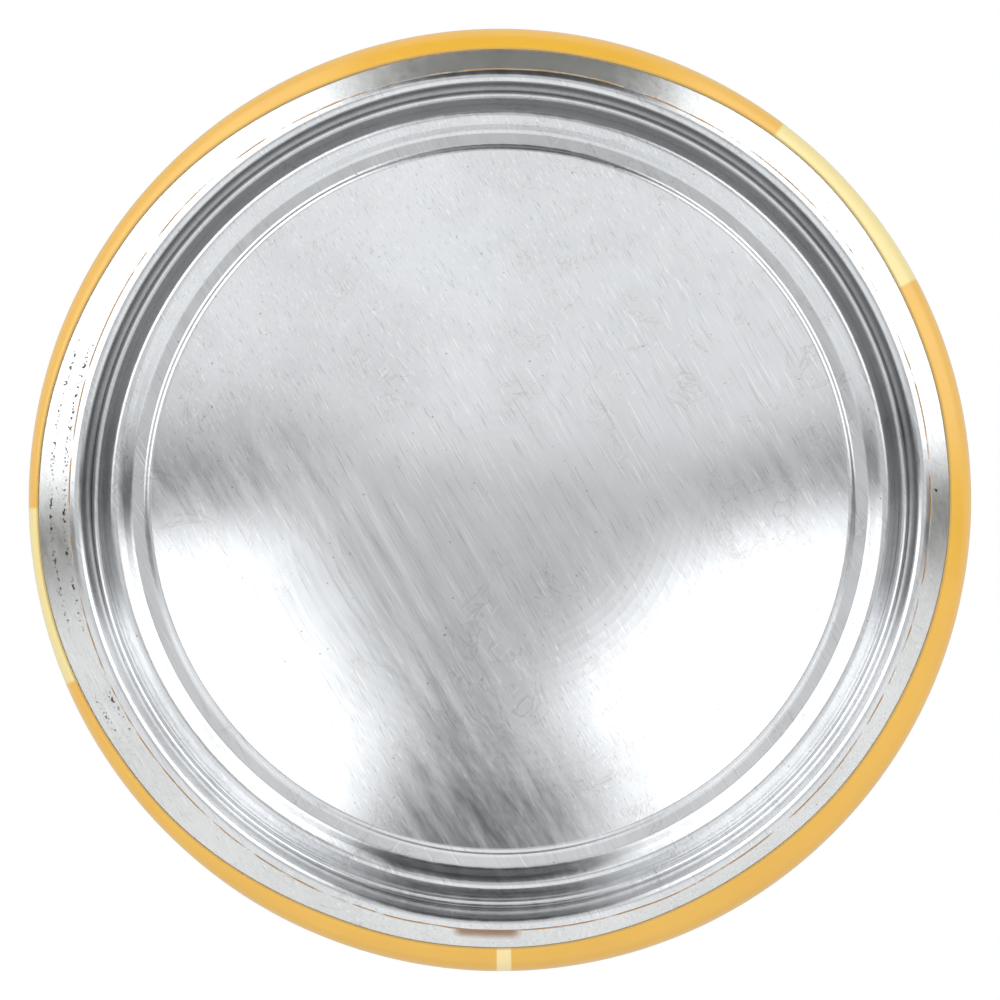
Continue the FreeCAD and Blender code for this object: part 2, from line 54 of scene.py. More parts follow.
BODY_SHEET = 0.22
END_SHEET = 0.25
HEEL_WIDTH, HEEL_HEIGHT, HEEL_BEND = 3.75, 2.7, 2.6
LAND_WIDTH, NOSE_BEND = 0.65, 0.42
LEG_INSET, LEG_HEIGHT = 0.6, 4.5
GROOVE_WIDTH, GROOVE_BEND = 0.55, 0.36
BEAD_FLANK, BEAD_CREST, BEAD_HEIGHT, BEAD_BEND = 0.88, 0.84, 0.85, 1.0
STEP_WIDTH, STEP_HEIGHT = 1.05, 0.2
RIM_WIDTH, RIM_BEND = 0.4, 0.5
DOME_RISE, DOME_CORNER, DOME_BEND = 3.6, 14.0, 104.0
NECK_HEIGHT, NECK_GAP, NECK_BEND = 1.6, 0.3, 1.0
SEAM_HEIGHT, SEAM_GAP = 3.0, 0.03
HOOK_LENGTH, HOOK_BEND = 1.9, 0.14

# ---------------------------------------------------------------- places, from the frame


def node_box(name):
    """A CAD node's lowest and highest corners, in millimetres."""
    low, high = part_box(name)
    return low / MM, high / MM


WALL_RADIUS = node_box("can_body")[1].x
BODY_TOP = node_box("can_body")[1].z
FILM_RADIUS = node_box("shrink_sleeve")[1].x
FILM_TOP = node_box("shrink_sleeve")[1].z
SEAM_TOP = node_box("top_ring")[1].z
SEAM_RADIUS = node_box("top_ring")[1].x
SEAM_BOTTOM = SEAM_TOP - SEAM_HEIGHT
LAND_OUTER = WALL_RADIUS - HEEL_WIDTH
LAND_INNER = LAND_OUTER - LAND_WIDTH
DOME_TOP = LEG_HEIGHT - STEP_HEIGHT + DOME_RISE
HOOK_OUTER = SEAM_RADIUS - END_SHEET - SEAM_GAP
HOOK_INNER = HOOK_OUTER - BODY_SHEET
COVER_HOOK = HOOK_INNER - SEAM_GAP - END_SHEET
NECK_RADIUS = COVER_HOOK - SEAM_GAP
NECK_TOP = SEAM_BOTTOM - NECK_GAP
WALL_TOP = NECK_TOP - NECK_HEIGHT

# The rolling grain of the tinplate runs this way across the base.
GRAIN = Vector((0.5, 0.866, 0.0))

# ---------------------------------------------------------------- helpers: outlines


def bent(corners, bends, step=9.0):
    """Points of a line through corners, with an arc at each inner corner, every so many degrees."""
    corners = [Vector(corner) for corner in corners]
    points = [corners[0]]
    for i, radius in enumerate(bends, start=1):
        way_in = (corners[i] - corners[i - 1]).normalized()
        way_out = (corners[i + 1] - corners[i]).normalized()
        turn = math.atan2(way_in.x * way_out.y - way_in.y * way_out.x, way_in.dot(way_out))
        reach = radius * math.tan(abs(turn) / 2)
        side = math.copysign(1, turn)
        start = corners[i] - way_in * reach
        centre = start + Vector((-way_in.y, way_in.x)) * radius * side
        # No step of a wide arc is longer than 0.8 mm.
        steps = max(4, math.ceil(abs(math.degrees(turn)) / step), math.ceil(abs(turn) * radius / 0.8))
        for k in range(steps + 1):
            spoke = start - centre
            spoke.rotate(Matrix.Rotation(turn * k / steps, 2))
            points.append(centre + spoke)
    points.append(corners[-1])
    return points


def with_support(points, tight=0.06):
    """Adds points near the ends of long spans, which keep smooth shading off the flats."""
    full = [points[0]]
    for a, b in zip(points, points[1:]):
        span = (b - a).length
        if span > 6 * tight:
            for share in (tight / span, 0.5, 1 - tight / span):
                full.append(a.lerp(b, share))
        full.append(b)
    return full


def offset_line(points, distance):
    """The line shifted to its left, each point along the mean of its neighbours' normals."""
    shifted = []
    for i, point in enumerate(points):
        before = points[max(i - 1, 0)]
        after = points[min(i + 1, len(points) - 1)]
        way = (after - before).normalized()
        shifted.append(point + Vector((-way.y, way.x)) * distance)
    return shifted


def sheet_section(corners, bends, thickness, step=9.0):
    """The closed outline of a bent sheet whose thickness lies to the left of its corners."""
    near = with_support(bent(corners, bends, step))
    far = offset_line(near, thickness)
    return near + far[::-1]


# ---------------------------------------------------------------- helpers: nodes and meshes


def srgb(code, alpha=1.0):
    """A linear colour from an sRGB hex value."""
    channels = [int(code[i:i + 2], 16) / 255 for i in (1, 3, 5)]
    linear = [c / 12.92 if c <= 0.04045 else ((c + 0.055) / 1.055) ** 2.4 for c in channels]
    return (*linear, alpha)


# Short names for two nodes that are used often. RISE is 0 below its second input and 1 above its third.
SHORT_NAMES = {
    "RISE": ("ShaderNodeMapRange", {"interpolation_type": "SMOOTHSTEP"}),
    "BLEND": ("ShaderNodeMix", {"data_type": "RGBA"}),
}


def feed(tree, socket, value):
    """Sets an input to a value or an sRGB hex colour, or links it to a node or one of its outputs."""
    if isinstance(value, bpy.types.Node):
        value = next(output for output in value.outputs if output.enabled)
    if isinstance(value, bpy.types.NodeSocket):
        tree.links.new(value, socket)
    else:
        socket.default_value = srgb(value) if isinstance(value, str) else value


def add(tree, kind, *inputs, **settings):
    """Adds a node with its settings and links.

    The kind is a node type, a short name or a Math operation. The inputs are given in the order of the
    sockets in use, or as one dictionary by name.
    """
    if kind.isupper():
        kind, preset = SHORT_NAMES.get(kind, ("ShaderNodeMath", {"operation": kind}))
        settings = {**preset, **settings}
    item = tree.nodes.new(kind)
    for name, setting in settings.items():
        setattr(item, name, setting)
    if inputs and isinstance(inputs[0], dict):
        pairs = [(item.inputs[name], value) for name, value in inputs[0].items()]
    else:
        pairs = zip([socket for socket in item.inputs if socket.enabled], inputs)
    for socket, value in pairs:
        feed(tree, socket, value)
    return item


def lathe_tree():
    """Turns a section, drawn as edges in X (radius) and Y (height), about the Z axis."""
    tree = bpy.data.node_groups.new("lathe", "GeometryNodeTree")
    tree.interface.new_socket("Section", in_out="INPUT", socket_type="NodeSocketGeometry")
    tree.interface.new_socket("Steps", in_out="INPUT", socket_type="NodeSocketInt")
    tree.interface.new_socket("Material", in_out="INPUT", socket_type="NodeSocketMaterial")
    tree.interface.new_socket("Geometry", in_out="OUTPUT", socket_type="NodeSocketGeometry")
    given = add(tree, "NodeGroupInput")
    section = add(tree, "GeometryNodeMeshToCurve", {"Mesh": given.outputs["Section"]})
    # The path has a radius of 1, so the section is drawn that much nearer the axis, and it runs with
    # its own Y downwards.
    inward = add(tree, "GeometryNodeTransform", {
        "Geometry": section.outputs["Curve"], "Translation": (-1, 0, 0), "Scale": (1, -1, 1)})
    ring = add(tree, "GeometryNodeCurvePrimitiveCircle", {
        "Resolution": given.outputs["Steps"], "Radius": 1.0})
    level = add(tree, "GeometryNodeSetCurveNormal", {"Curve": ring.outputs["Curve"]}, mode="Z_UP")
    swept = add(tree, "GeometryNodeCurveToMesh", {
        "Curve": level.outputs["Curve"], "Profile Curve": inward.outputs["Geometry"]})
    closed = add(tree, "GeometryNodeMergeByDistance", {"Geometry": swept.outputs["Mesh"], "Distance": 1e-6})
    real = add(tree, "GeometryNodeRealizeInstances", {"Geometry": closed.outputs["Geometry"]})
    painted = add(tree, "GeometryNodeSetMaterial", {
        "Geometry": real.outputs["Geometry"], "Material": given.outputs["Material"]})
    add(tree, "NodeGroupOutput", {"Geometry": painted.outputs["Geometry"]})
    return tree


LATHE = lathe_tree()


def baked(source, tree, values):
    """The plain mesh that a node tree makes of an object's mesh, with its inputs set by name."""
    holder = bpy.data.objects.new("holder", source)
    bpy.context.scene.collection.objects.link(holder)
    modifier = holder.modifiers.new("maker", "NODES")
    modifier.node_group = tree
    for item in tree.interface.items_tree:
        if item.in_out == "INPUT" and item.name in values:
            modifier[item.identifier] = values[item.name]
    depsgraph = bpy.context.evaluated_depsgraph_get()
    mesh = bpy.data.meshes.new_from_object(holder.evaluated_get(depsgraph))
    bpy.data.objects.remove(holder)
    return mesh


def finish_mesh(mesh, merge=1e-7):
    """Merges doubles, turns the faces outwards and shades them smooth."""
    work = bmesh.new()
    work.from_mesh(mesh)
    bmesh.ops.remove_doubles(work, verts=work.verts, dist=merge)
    bmesh.ops.dissolve_degenerate(work, edges=work.edges, dist=merge)
    bmesh.ops.recalc_face_normals(work, faces=work.faces)
    for face in work.faces:
        face.smooth = True
    work.to_mesh(mesh)
    work.free()
    return mesh


def new_piece(name, mesh, body, slot, *nodes, material=None):
    """A piece of the object that rides on a body and stands for CAD nodes."""
    piece = bpy.data.objects.new(name, mesh)
    bpy.context.scene.collection.objects.link(piece)
    if material is not None:
        mesh.materials.clear()
        mesh.materials.append(material)
    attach(piece, body)
    if nodes:
        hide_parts(*nodes)
    return piece


def lathed(section, material, steps=256, closed=True):
    """A mesh turned about the can's axis from a section in millimetres."""
    edges = [(i, i + 1) for i in range(len(section) - 1)]
    if closed:
        edges.append((len(section) - 1, 0))
    line = bpy.data.meshes.new("section")
    line.from_pydata([(p.x * MM, p.y * MM, 0) for p in section], edges, [])
    mesh = baked(line, LATHE, {"Steps": steps, "Material": material})
    return finish_mesh(mesh)


# ---------------------------------------------------------------- helpers: materials


def new_material(name, **settings):
    """A material and its Principled shader, with constants set on the shader's own sockets."""
    material = bpy.data.materials.new(name)
    material.use_nodes = True
    tree = material.node_tree
    shader = tree.nodes["Principled BSDF"]
    for socket, value in settings.items():
        shader.inputs[socket.replace("_", " ")].default_value = value
    return material, tree, shader


def object_place(tree, turn=0.0, scale=(1, 1, 1)):
    """Object coordinates in millimetres, turned about Z and stretched."""
    where = add(tree, "ShaderNodeTexCoord")
    turned = add(tree, "ShaderNodeMapping", {
        "Vector": where.outputs["Object"], "Rotation": (0, 0, turn), "Scale": (1000, 1000, 1000)})
    return add(tree, "ShaderNodeMapping", {"Vector": turned, "Scale": scale})


def between(tree, value, first, last, soft):
    """1 from first to last and 0 elsewhere, with soft edges."""
    return add(tree, "SUBTRACT", add(tree, "RISE", value, first - soft, first + soft),
               add(tree, "RISE", value, last - soft, last + soft))


def mottle(tree, size, detail=3.0, roughness=0.6, distortion=0.0, turn=0.0):
    """Noise between 0 and 1 fixed to the object, with lumps of this size in millimetres."""
    sizes = size if isinstance(size, tuple) else (size,) * 3
    where = object_place(tree, turn, tuple(1 / length for length in sizes))
    return add(tree, "ShaderNodeTexNoise", {
        "Vector": where, "Scale": 1.0, "Detail": detail, "Roughness": roughness, "Distortion": distortion})


def from_axis(tree):
    """The place level with the ground, and its distance from the can's axis, in millimetres."""
    level = add(tree, "ShaderNodeMapping", {"Vector": object_place(tree), "Scale": (1, 1, 0)})
    return level, add(tree, "ShaderNodeVectorMath", level, operation="LENGTH")


def tinplate():
    """Bright tinplate, temper rolled: fine straight grain that stretches every reflection across it.

    The eye sees a soft mirror with hair-thin light and dark lines, a few real scratches and faint
    water stains.
    """
    material, tree, shader = new_material("bright_tinplate_rolled", Metallic=1.0, Anisotropic=0.7)
    along = -math.atan2(GRAIN.y, GRAIN.x)
    # Rolling lines are finer than 0.1 mm; drawn 0.15 mm wide and 5 mm long so that they show.
    hair = mottle(tree, (5, 0.15, 0.15), 2.0, 0.6, turn=along)
    streak = mottle(tree, (26, 1.1, 1.1), 3.0, 0.6, turn=along)
    crossed = mottle(tree, (4, 0.13, 0.13), 1.0, turn=along + 1.9)
    blotch = mottle(tree, 11, 3.0)
    stain = mottle(tree, 5, 5.0, 0.6, 1.2)
    metal = add(tree, "BLEND", add(tree, "RISE", blotch, 0.35, 0.65), "#dedfe0", "#d4d5d6")
    dark = add(tree, "MULTIPLY", add(tree, "RISE", hair, 0.42, 0.26), 0.34)
    light = add(tree, "MULTIPLY", add(tree, "RISE", hair, 0.58, 0.72), 0.5)
    metal = add(tree, "BLEND", dark, metal, "#8f9092")
    metal = add(tree, "BLEND", light, metal, "#f6f6f6")
    nick = add(tree, "MULTIPLY", add(tree, "RISE", crossed, 0.66, 0.74), add(tree, "RISE", blotch, 0.5, 0.62))
    metal = add(tree, "BLEND", add(tree, "MULTIPLY", nick, 0.35), metal, "#f8f8f8")
    # Dried water leaves thin brownish rims.
    ring = between(tree, stain, 0.575, 0.59, 0.008)
    rim = add(tree, "MULTIPLY", ring, add(tree, "RISE", blotch, 0.45, 0.6))
    metal = add(tree, "BLEND", add(tree, "MULTIPLY", rim, 0.3), metal, "#a89f92")
    speck = add(tree, "RISE", mottle(tree, 0.3, 0.0), 0.84, 0.88)
    metal = add(tree, "BLEND", add(tree, "MULTIPLY", speck, 0.5), metal, "#5c5a57")
    # The leg inside the standing ring mirrors a dark room, most of all on one side. Its reflections
    # alone come out too pale, so part of that dark is in the colour here.
    level, radius = from_axis(tree)
    side = add(tree, "ShaderNodeSeparateXYZ", {"Vector": level}).outputs["Y"]
    leg = between(tree, radius, 32.75, 33.5, 0.12)
    leg = add(tree, "MULTIPLY", leg, add(tree, "MULTIPLY_ADD", add(tree, "RISE", side, 12, 6), 0.6, 0.05))
    metal = add(tree, "BLEND", leg, metal, "#2e2f31")
    feed(tree, shader.inputs["Base Color"], metal)
    rough = add(tree, "ShaderNodeMapRange", {
        "Value": streak, "From Min": 0.3, "From Max": 0.7, "To Min": 0.15, "To Max": 0.22})
    feed(tree, shader.inputs["Roughness"], rough)
    height = add(tree, "ADD", add(tree, "MULTIPLY", hair, 0.5), add(tree, "MULTIPLY", streak, 1.5))
    feed(tree, shader.inputs["Normal"], add(tree, "ShaderNodeBump", {
        "Height": height, "Strength": 0.2, "Distance": 0.000006}))
    across = Vector((-GRAIN.y, GRAIN.x, 0))
    tangent = add(tree, "ShaderNodeCombineXYZ", {"X": across.x, "Y": across.y, "Z": 0.0})
    feed(tree, shader.inputs["Tangent"], tangent)
    return material


def film_map(tree):
    """Degrees round the can, and millimetres up from the film's low edge."""
    parts = add(tree, "ShaderNodeSeparateXYZ", {
        "Vector": add(tree, "ShaderNodeUVMap", uv_map="film").outputs["UV"]})
    return add(tree, "MULTIPLY", parts.outputs["X"], 360.0), parts.outputs["Y"]


def printed_film():
    """PETG shrink film, printed yellow on its inner side: glossy, with a little orange peel.

    The eye sees a warm yellow ground, two pale bands that wind up the can, a ball motif and the
    thin pale strip where the film's edges are glued.
    """
    material, tree, shader = new_material(
        "shrink_film_printed_yellow", Roughness=0.36, IOR=1.57, Coat_Weight=0.6, Coat_Roughness=0.14)
    degrees, up = film_map(tree)
    climb = add(tree, "MULTIPLY", add(tree, "MAXIMUM", add(tree, "SUBTRACT", up, 9.0), 0.0), 0.55)
    wound = add(tree, "FLOORED_MODULO", add(tree, "ADD", degrees, climb), 360.0)
    cloud = mottle(tree, 9)
    ground = add(tree, "BLEND", add(tree, "RISE", cloud, 0.3, 0.7), "#e1aa31", "#e4af37")
    bands = add(tree, "ADD", between(tree, wound, 157, 179, 0.25), between(tree, wound, 307, 332, 0.25))
    colour = add(tree, "BLEND", bands, ground, "#e8d48c")
    trim = add(tree, "ADD", between(tree, wound, 181, 183, 0.2), between(tree, wound, 334, 336, 0.2))
    colour = add(tree, "BLEND", add(tree, "MULTIPLY", trim, add(tree, "RISE", up, 12, 20)), colour, "#3f6b3a")
    # The motif: a pale ball with two curved seams, 46 mm across, on the front of the can.
    sideways = add(tree, "MULTIPLY", add(tree, "SUBTRACT", degrees, 270.0), math.radians(FILM_RADIUS))
    height = add(tree, "SUBTRACT", up, 112.0)

    def distance(offset):
        square = add(tree, "POWER", add(tree, "SUBTRACT", sideways, offset), 2.0)
        return add(tree, "SQRT", add(tree, "ADD", square, add(tree, "POWER", height, 2.0)))

    disc = add(tree, "SUBTRACT", 1.0, add(tree, "RISE", distance(0.0), 22.8, 23.2))
    seams = add(tree, "ADD", between(tree, distance(30.0), 19.2, 21.0, 0.2),
                between(tree, distance(-30.0), 19.2, 21.0, 0.2))
    colour = add(tree, "BLEND", disc, colour, "#cfdc4a")
    colour = add(tree, "BLEND", add(tree, "MULTIPLY", seams, disc), colour, "#f7f7ee")
    seam = between(tree, degrees, 88.6, 90.4, 0.1)
    colour = add(tree, "BLEND", add(tree, "MULTIPLY", seam, 0.75), colour, "#f6e7ae")
    edge = between(tree, up, -1.0, 0.16, 0.05)
    colour = add(tree, "BLEND", add(tree, "MULTIPLY", edge, 0.55), colour, "#b79a5e")
    feed(tree, shader.inputs["Base Color"], colour)
    peel = mottle(tree, (1.6, 1.6, 4), 2.0)
    relief = add(tree, "ADD", peel, add(tree, "MULTIPLY", seam, 1.2))
    feed(tree, shader.inputs["Normal"], add(tree, "ShaderNodeBump", {
        "Height": relief, "Strength": 0.15, "Distance": 0.00003}))
    return material


def clear_film():
    """The unprinted margin of the shrink film: almost invisible over the tin, amber where it was cut.

    Overspray from the date coder has left rows of black dots on it.
    """
    material, tree, shader = new_material("shrink_film_clear", Roughness=0.2, IOR=1.57)
    degrees, up = film_map(tree)
    wander = mottle(tree, 3, 3.0)
    cut = add(tree, "SUBTRACT", 1.0, add(tree, "RISE", up, 0.05, 0.17))
    cut = add(tree, "MULTIPLY", cut, add(tree, "RISE", wander, 0.36, 0.56))
    dots = mottle(tree, 0.24, 1.0, 0.5)
    rows = add(tree, "ADD", between(tree, degrees, 163, 201, 2.0), between(tree, degrees, 357, 362, 1.0))
    rows = add(tree, "ADD", rows, between(tree, degrees, 148, 154, 1.0))
    column = add(tree, "ADD", between(tree, up, 0.35, 0.75, 0.1), between(tree, up, 1.75, 2.1, 0.1))
    ink = add(tree, "MULTIPLY", add(tree, "MULTIPLY", rows, column), add(tree, "RISE", dots, 0.6, 0.64))
    stain = add(tree, "MULTIPLY", between(tree, degrees, 87.5, 96.0, 1.0), add(tree, "RISE", up, 1.3, 0.2))
    colour = add(tree, "BLEND", cut, "#f4f1e6", "#b98a4c")
    colour = add(tree, "BLEND", stain, colour, "#a87a4c")
    colour = add(tree, "BLEND", ink, colour, "#14130f")
    seen = add(tree, "MAXIMUM", add(tree, "MULTIPLY", cut, 0.8), ink)
    seen = add(tree, "MAXIMUM", seen, add(tree, "MULTIPLY", stain, 0.45))
    feed(tree, shader.inputs["Base Color"], colour)
    feed(tree, shader.inputs["Alpha"], add(tree, "MAXIMUM", seen, 0.06))
    return material


def end_aluminium():
    """Rolled aluminium with a clear lacquer: straight soft grain under a thin gloss, lightly scuffed."""
    material, tree, shader = new_material(
        "rolled_aluminium_lacquered", Metallic=1.0, Anisotropic=0.45, Coat_Weight=0.25, Coat_Roughness=0.1)
    # Rolling lines drawn 0.2 mm wide so that they show.
    hair = mottle(tree, (9, 0.2, 0.2), 3.0, 0.65, turn=0.2)
    wear = mottle(tree, 6, 4.0)
    colour = add(tree, "BLEND", add(tree, "RISE", hair, 0.35, 0.65), "#c9cbce", "#dfe0e2")
    colour = add(tree, "BLEND", add(tree, "RISE", wear, 0.55, 0.75), colour, "#bfc0c2")
    feed(tree, shader.inputs["Base Color"], colour)
    rough = add(tree, "ShaderNodeMapRange", {"Value": wear, "To Min": 0.2, "To Max": 0.36})
    feed(tree, shader.inputs["Roughness"], rough)
    feed(tree, shader.inputs["Normal"], add(tree, "ShaderNodeBump", {
        "Height": hair, "Strength": 0.25, "Distance": 0.00001}))
    return material


def tab_aluminium():
    """Stamped aluminium strip, uncoated: brighter than the end, with fine draw marks and burnished bends."""
    material, tree, shader = new_material("stamped_aluminium_bare", Metallic=1.0)
    draw = mottle(tree, (5, 0.16, 0.16), 3.0, 0.7, turn=math.pi / 2)
    rub = mottle(tree, 2.2, 4.0)
    feed(tree, shader.inputs["Base Color"], add(tree, "BLEND", draw, "#b9babd", "#e2e3e5"))
    rough = add(tree, "ShaderNodeMapRange", {"Value": rub, "To Min": 0.16, "To Max": 0.38})
    feed(tree, shader.inputs["Roughness"], rough)
    feed(tree, shader.inputs["Normal"], add(tree, "ShaderNodeBump", {
        "Height": draw, "Strength": 0.2, "Distance": 0.000012}))
    return material


def sealing_compound():
    """Water-based sealing compound, dried in the seam: a matt grey rubber, slightly lumpy."""
    material, tree, shader = new_material("sealing_compound_rubber", Roughness=0.72)
    lumps = mottle(tree, 0.7, 3.0)
    feed(tree, shader.inputs["Base Color"], add(tree, "BLEND", lumps, "#7c7a73", "#9a978e"))
    feed(tree, shader.inputs["Normal"], add(tree, "ShaderNodeBump", {
        "Height": lumps, "Strength": 0.4, "Distance": 0.00003}))
    return material


def cap_polyethylene():
    """Injection-moulded low-density polyethylene: milky, waxy, light goes a little way in.

    The eye sees faint flow rings round the gate in the middle and dull scuffs on the raised faces.
    """
    material, tree, shader = new_material(
        "ldpe_moulded_milky", IOR=1.51, Subsurface_Weight=0.35, Subsurface_Scale=0.002)
    radius = from_axis(tree)[1]
    sway = add(tree, "MULTIPLY", mottle(tree, 12), 7.0)
    flow = add(tree, "SINE", add(tree, "ADD", add(tree, "MULTIPLY", radius, 2.4), sway))
    gate = add(tree, "SUBTRACT", 1.0, add(tree, "RISE", radius, 1.0, 1.6))
    scuff = mottle(tree, (7, 0.25, 0.25), 4.0, 0.7, turn=0.7)
    milk = add(tree, "BLEND", add(tree, "RISE", flow, -1, 1), "#e2e5df", "#e6e9e3")
    milk = add(tree, "BLEND", add(tree, "MULTIPLY", add(tree, "RISE", scuff, 0.6, 0.7), 0.5), milk, "#f6f7f4")
    feed(tree, shader.inputs["Base Color"], add(tree, "BLEND", gate, milk, "#cfd3cc"))
    rough = add(tree, "ShaderNodeMapRange", {"Value": scuff, "To Min": 0.32, "To Max": 0.55})
    feed(tree, shader.inputs["Roughness"], rough)
    height = add(tree, "ADD", add(tree, "MULTIPLY", flow, 0.07), add(tree, "MULTIPLY", gate, -1.5))
    feed(tree, shader.inputs["Normal"], add(tree, "ShaderNodeBump", {
        "Height": add(tree, "ADD", height, scuff), "Strength": 0.25, "Distance": 0.00003}))
    return material


def needle_felt():
    """Needle-punched wool and nylon felt, dyed optic yellow: fuzzy, with lighter fibre ends."""
    material, tree, shader = new_material(
        "needle_felt_optic_yellow", Roughness=0.95, Sheen_Weight=0.5, Sheen_Roughness=0.5)
    # Fibres are 0.02 mm thick, too fine to show; drawn as fuzz of 0.35 mm in tufts of about 2 mm.
    fuzz = mottle(tree, 0.35, 4.0, 0.75, 0.6)
    tuft = mottle(tree, 2.2, 3.0)
    colour = add(tree, "BLEND", fuzz, "#a9bd22", "#dcea54")
    tips = add(tree, "MULTIPLY", add(tree, "RISE", tuft, 0.5, 0.75), 0.4)
    colour = add(tree, "BLEND", tips, colour, "#eaf27c")
    feed(tree, shader.inputs["Base Color"], colour)
    feed(tree, shader.inputs["Normal"], add(tree, "ShaderNodeBump", {
        "Height": add(tree, "ADD", fuzz, tuft), "Strength": 0.8, "Distance": 0.0003}))
    return material


def seam_rubber():
    """Vulcanised rubber cement in the ball's seam: pale, matt, with a fine moulded skin."""
    material, tree, shader = new_material("vulcanised_rubber_pale", Roughness=0.62)
    skin = mottle(tree, 0.5, 4.0)
    feed(tree, shader.inputs["Base Color"], add(tree, "BLEND", skin, "#cfcfb9", "#e3e3d2"))
    feed(tree, shader.inputs["Normal"], add(tree, "ShaderNodeBump", {
        "Height": skin, "Strength": 0.4, "Distance": 0.00006}))
    return material


def core_rubber():
    """Moulded black rubber, buffed for the glue: matt charcoal with fine sanding marks."""
    material, tree, shader = new_material("moulded_rubber_black", Roughness=0.8)
    buff = mottle(tree, (3, 0.3, 0.3), 4.0)
    feed(tree, shader.inputs["Base Color"], add(tree, "BLEND", buff, "#1b1b1b", "#353433"))
    feed(tree, shader.inputs["Normal"], add(tree, "ShaderNodeBump", {
        "Height": buff, "Strength": 0.5, "Distance": 0.00005}))
    return material


TIN = tinplate()
PRINT = printed_film()
CLEAR = clear_film()
END = end_aluminium()
TAB = tab_aluminium()
COMPOUND = sealing_compound()
CAP = cap_polyethylene()
FELT = needle_felt()
SEAM = seam_rubber()
CORE = core_rubber()

# ---------------------------------------------------------------- can body


def base_line():
    """Corners and bends of the base, seen from outside, from the axis out to the straight wall."""
    groove_edge = LAND_INNER - LEG_INSET
    bead_outer = groove_edge - GROOVE_WIDTH
    crest_outer = bead_outer - BEAD_FLANK
    crest_inner = crest_outer - BEAD_CREST
    bead_inner = crest_inner - BEAD_FLANK
    flat_inner = bead_inner - STEP_WIDTH
    rim = flat_inner - RIM_WIDTH
    corners = [
        (0, DOME_TOP), (DOME_CORNER, DOME_TOP), (rim, LEG_HEIGHT - STEP_HEIGHT), (flat_inner, LEG_HEIGHT),
        (bead_inner, LEG_HEIGHT), (crest_inner, LEG_HEIGHT - BEAD_HEIGHT),
        (crest_outer, LEG_HEIGHT - BEAD_HEIGHT), (bead_outer, LEG_HEIGHT), (groove_edge, LEG_HEIGHT),
        (LAND_INNER, 0), (LAND_OUTER, 0), (WALL_RADIUS, HEEL_HEIGHT),
    ]
    bends = [DOME_BEND, RIM_BEND, RIM_BEND, GROOVE_BEND, BEAD_BEND, BEAD_BEND, GROOVE_BEND, GROOVE_BEND,
             NOSE_BEND, NOSE_BEND, HEEL_BEND]
    return corners, bends


def make_can_body():
    corners, bends = base_line()
    inner_top = BODY_TOP - BODY_SHEET
    corners += [
        (WALL_RADIUS, WALL_TOP), (NECK_RADIUS, NECK_TOP), (NECK_RADIUS, inner_top),
        (HOOK_INNER, inner_top), (HOOK_INNER, BODY_TOP - HOOK_LENGTH),
    ]
    bends += [NECK_BEND, NECK_BEND, HOOK_BEND, HOOK_BEND]
    mesh = lathed(sheet_section(corners, bends, BODY_SHEET), TIN, steps=176)
    return new_piece("can_body", mesh, "can", "can_metal", "can_body")


# ---------------------------------------------------------------- shrink sleeve


def heel_path():
    """Points of the can's outside from the standing land up to the top of the film."""
    corners = [(LAND_INNER + 0.35, 0), (LAND_OUTER, 0), (WALL_RADIUS, HEEL_HEIGHT), (WALL_RADIUS, FILM_TOP)]
    return with_support(bent(corners, [NOSE_BEND, HEEL_BEND], 4.0))


class Path:
    """A line that can be read at any distance along it."""

    def __init__(self, points):
        self.points = points
        self.at = [0.0]
        for a, b in zip(points, points[1:]):
            self.at.append(self.at[-1] + (b - a).length)
        self.length = self.at[-1]

    def read(self, distance):
        """The point at a distance, and the direction to the right of the line there."""
        distance = min(max(distance, 0.0), self.length)
        i = next((k for k in range(1, len(self.at)) if self.at[k] >= distance), len(self.at) - 1)
        a, b = self.points[i - 1], self.points[i]
        share = (distance - self.at[i - 1]) / (self.at[i] - self.at[i - 1])
        way = (b - a).normalized()
        return a.lerp(b, share), Vector((way.y, -way.x))

    def where_radius(self, radius):
        """The distance at which the line first reaches a radius."""
        for k in range(1, len(self.points)):
            a, b = self.points[k - 1], self.points[k]
            if a.x <= radius <= b.x and b.x > a.x:
                return self.at[k - 1] + (self.at[k] - self.at[k - 1]) * (radius - a.x) / (b.x - a.x)
        return self.length


HEEL = Path(heel_path())


def wave(angle, frequency, seed):
    """A smooth wander between -1 and 1 that closes after a full turn."""
    place = Vector((math.cos(angle), math.sin(angle), 0)) * frequency
    return noise.noise(place + Vector((seed, 0, seed * 0.37))) * 1.6


# Where the yellow print stops: degrees round the can, and the radius there. The sleeve shrank unevenly.
PRINT_EDGE = [(0, 36.10), (35, 35.77), (57, 35.61), (90, 35.93), (108, 36.02), (141, 36.74), (171, 37.14),
              (185, 37.06), (215, 36.66), (250, 36.10), (280, 36.18), (312, 36.58), (340, 36.18),
              (360, 36.10)]


def print_edge(angle):
    """Radius at which the yellow print stops."""
    degrees = math.degrees(angle) % 360
    for (start, low), (end, high) in zip(PRINT_EDGE, PRINT_EDGE[1:]):
        if start <= degrees <= end:
            share = (degrees - start) / (end - start)
            return low + (high - low) * share * share * (3 - 2 * share)


def cut_edge(angle):
    """Radius at which the film is cut off, a little wavy."""
    return 34.45 + 0.09 * wave(angle, 2.2, 1.0) + 0.03 * wave(angle, 9.0, 2.0)


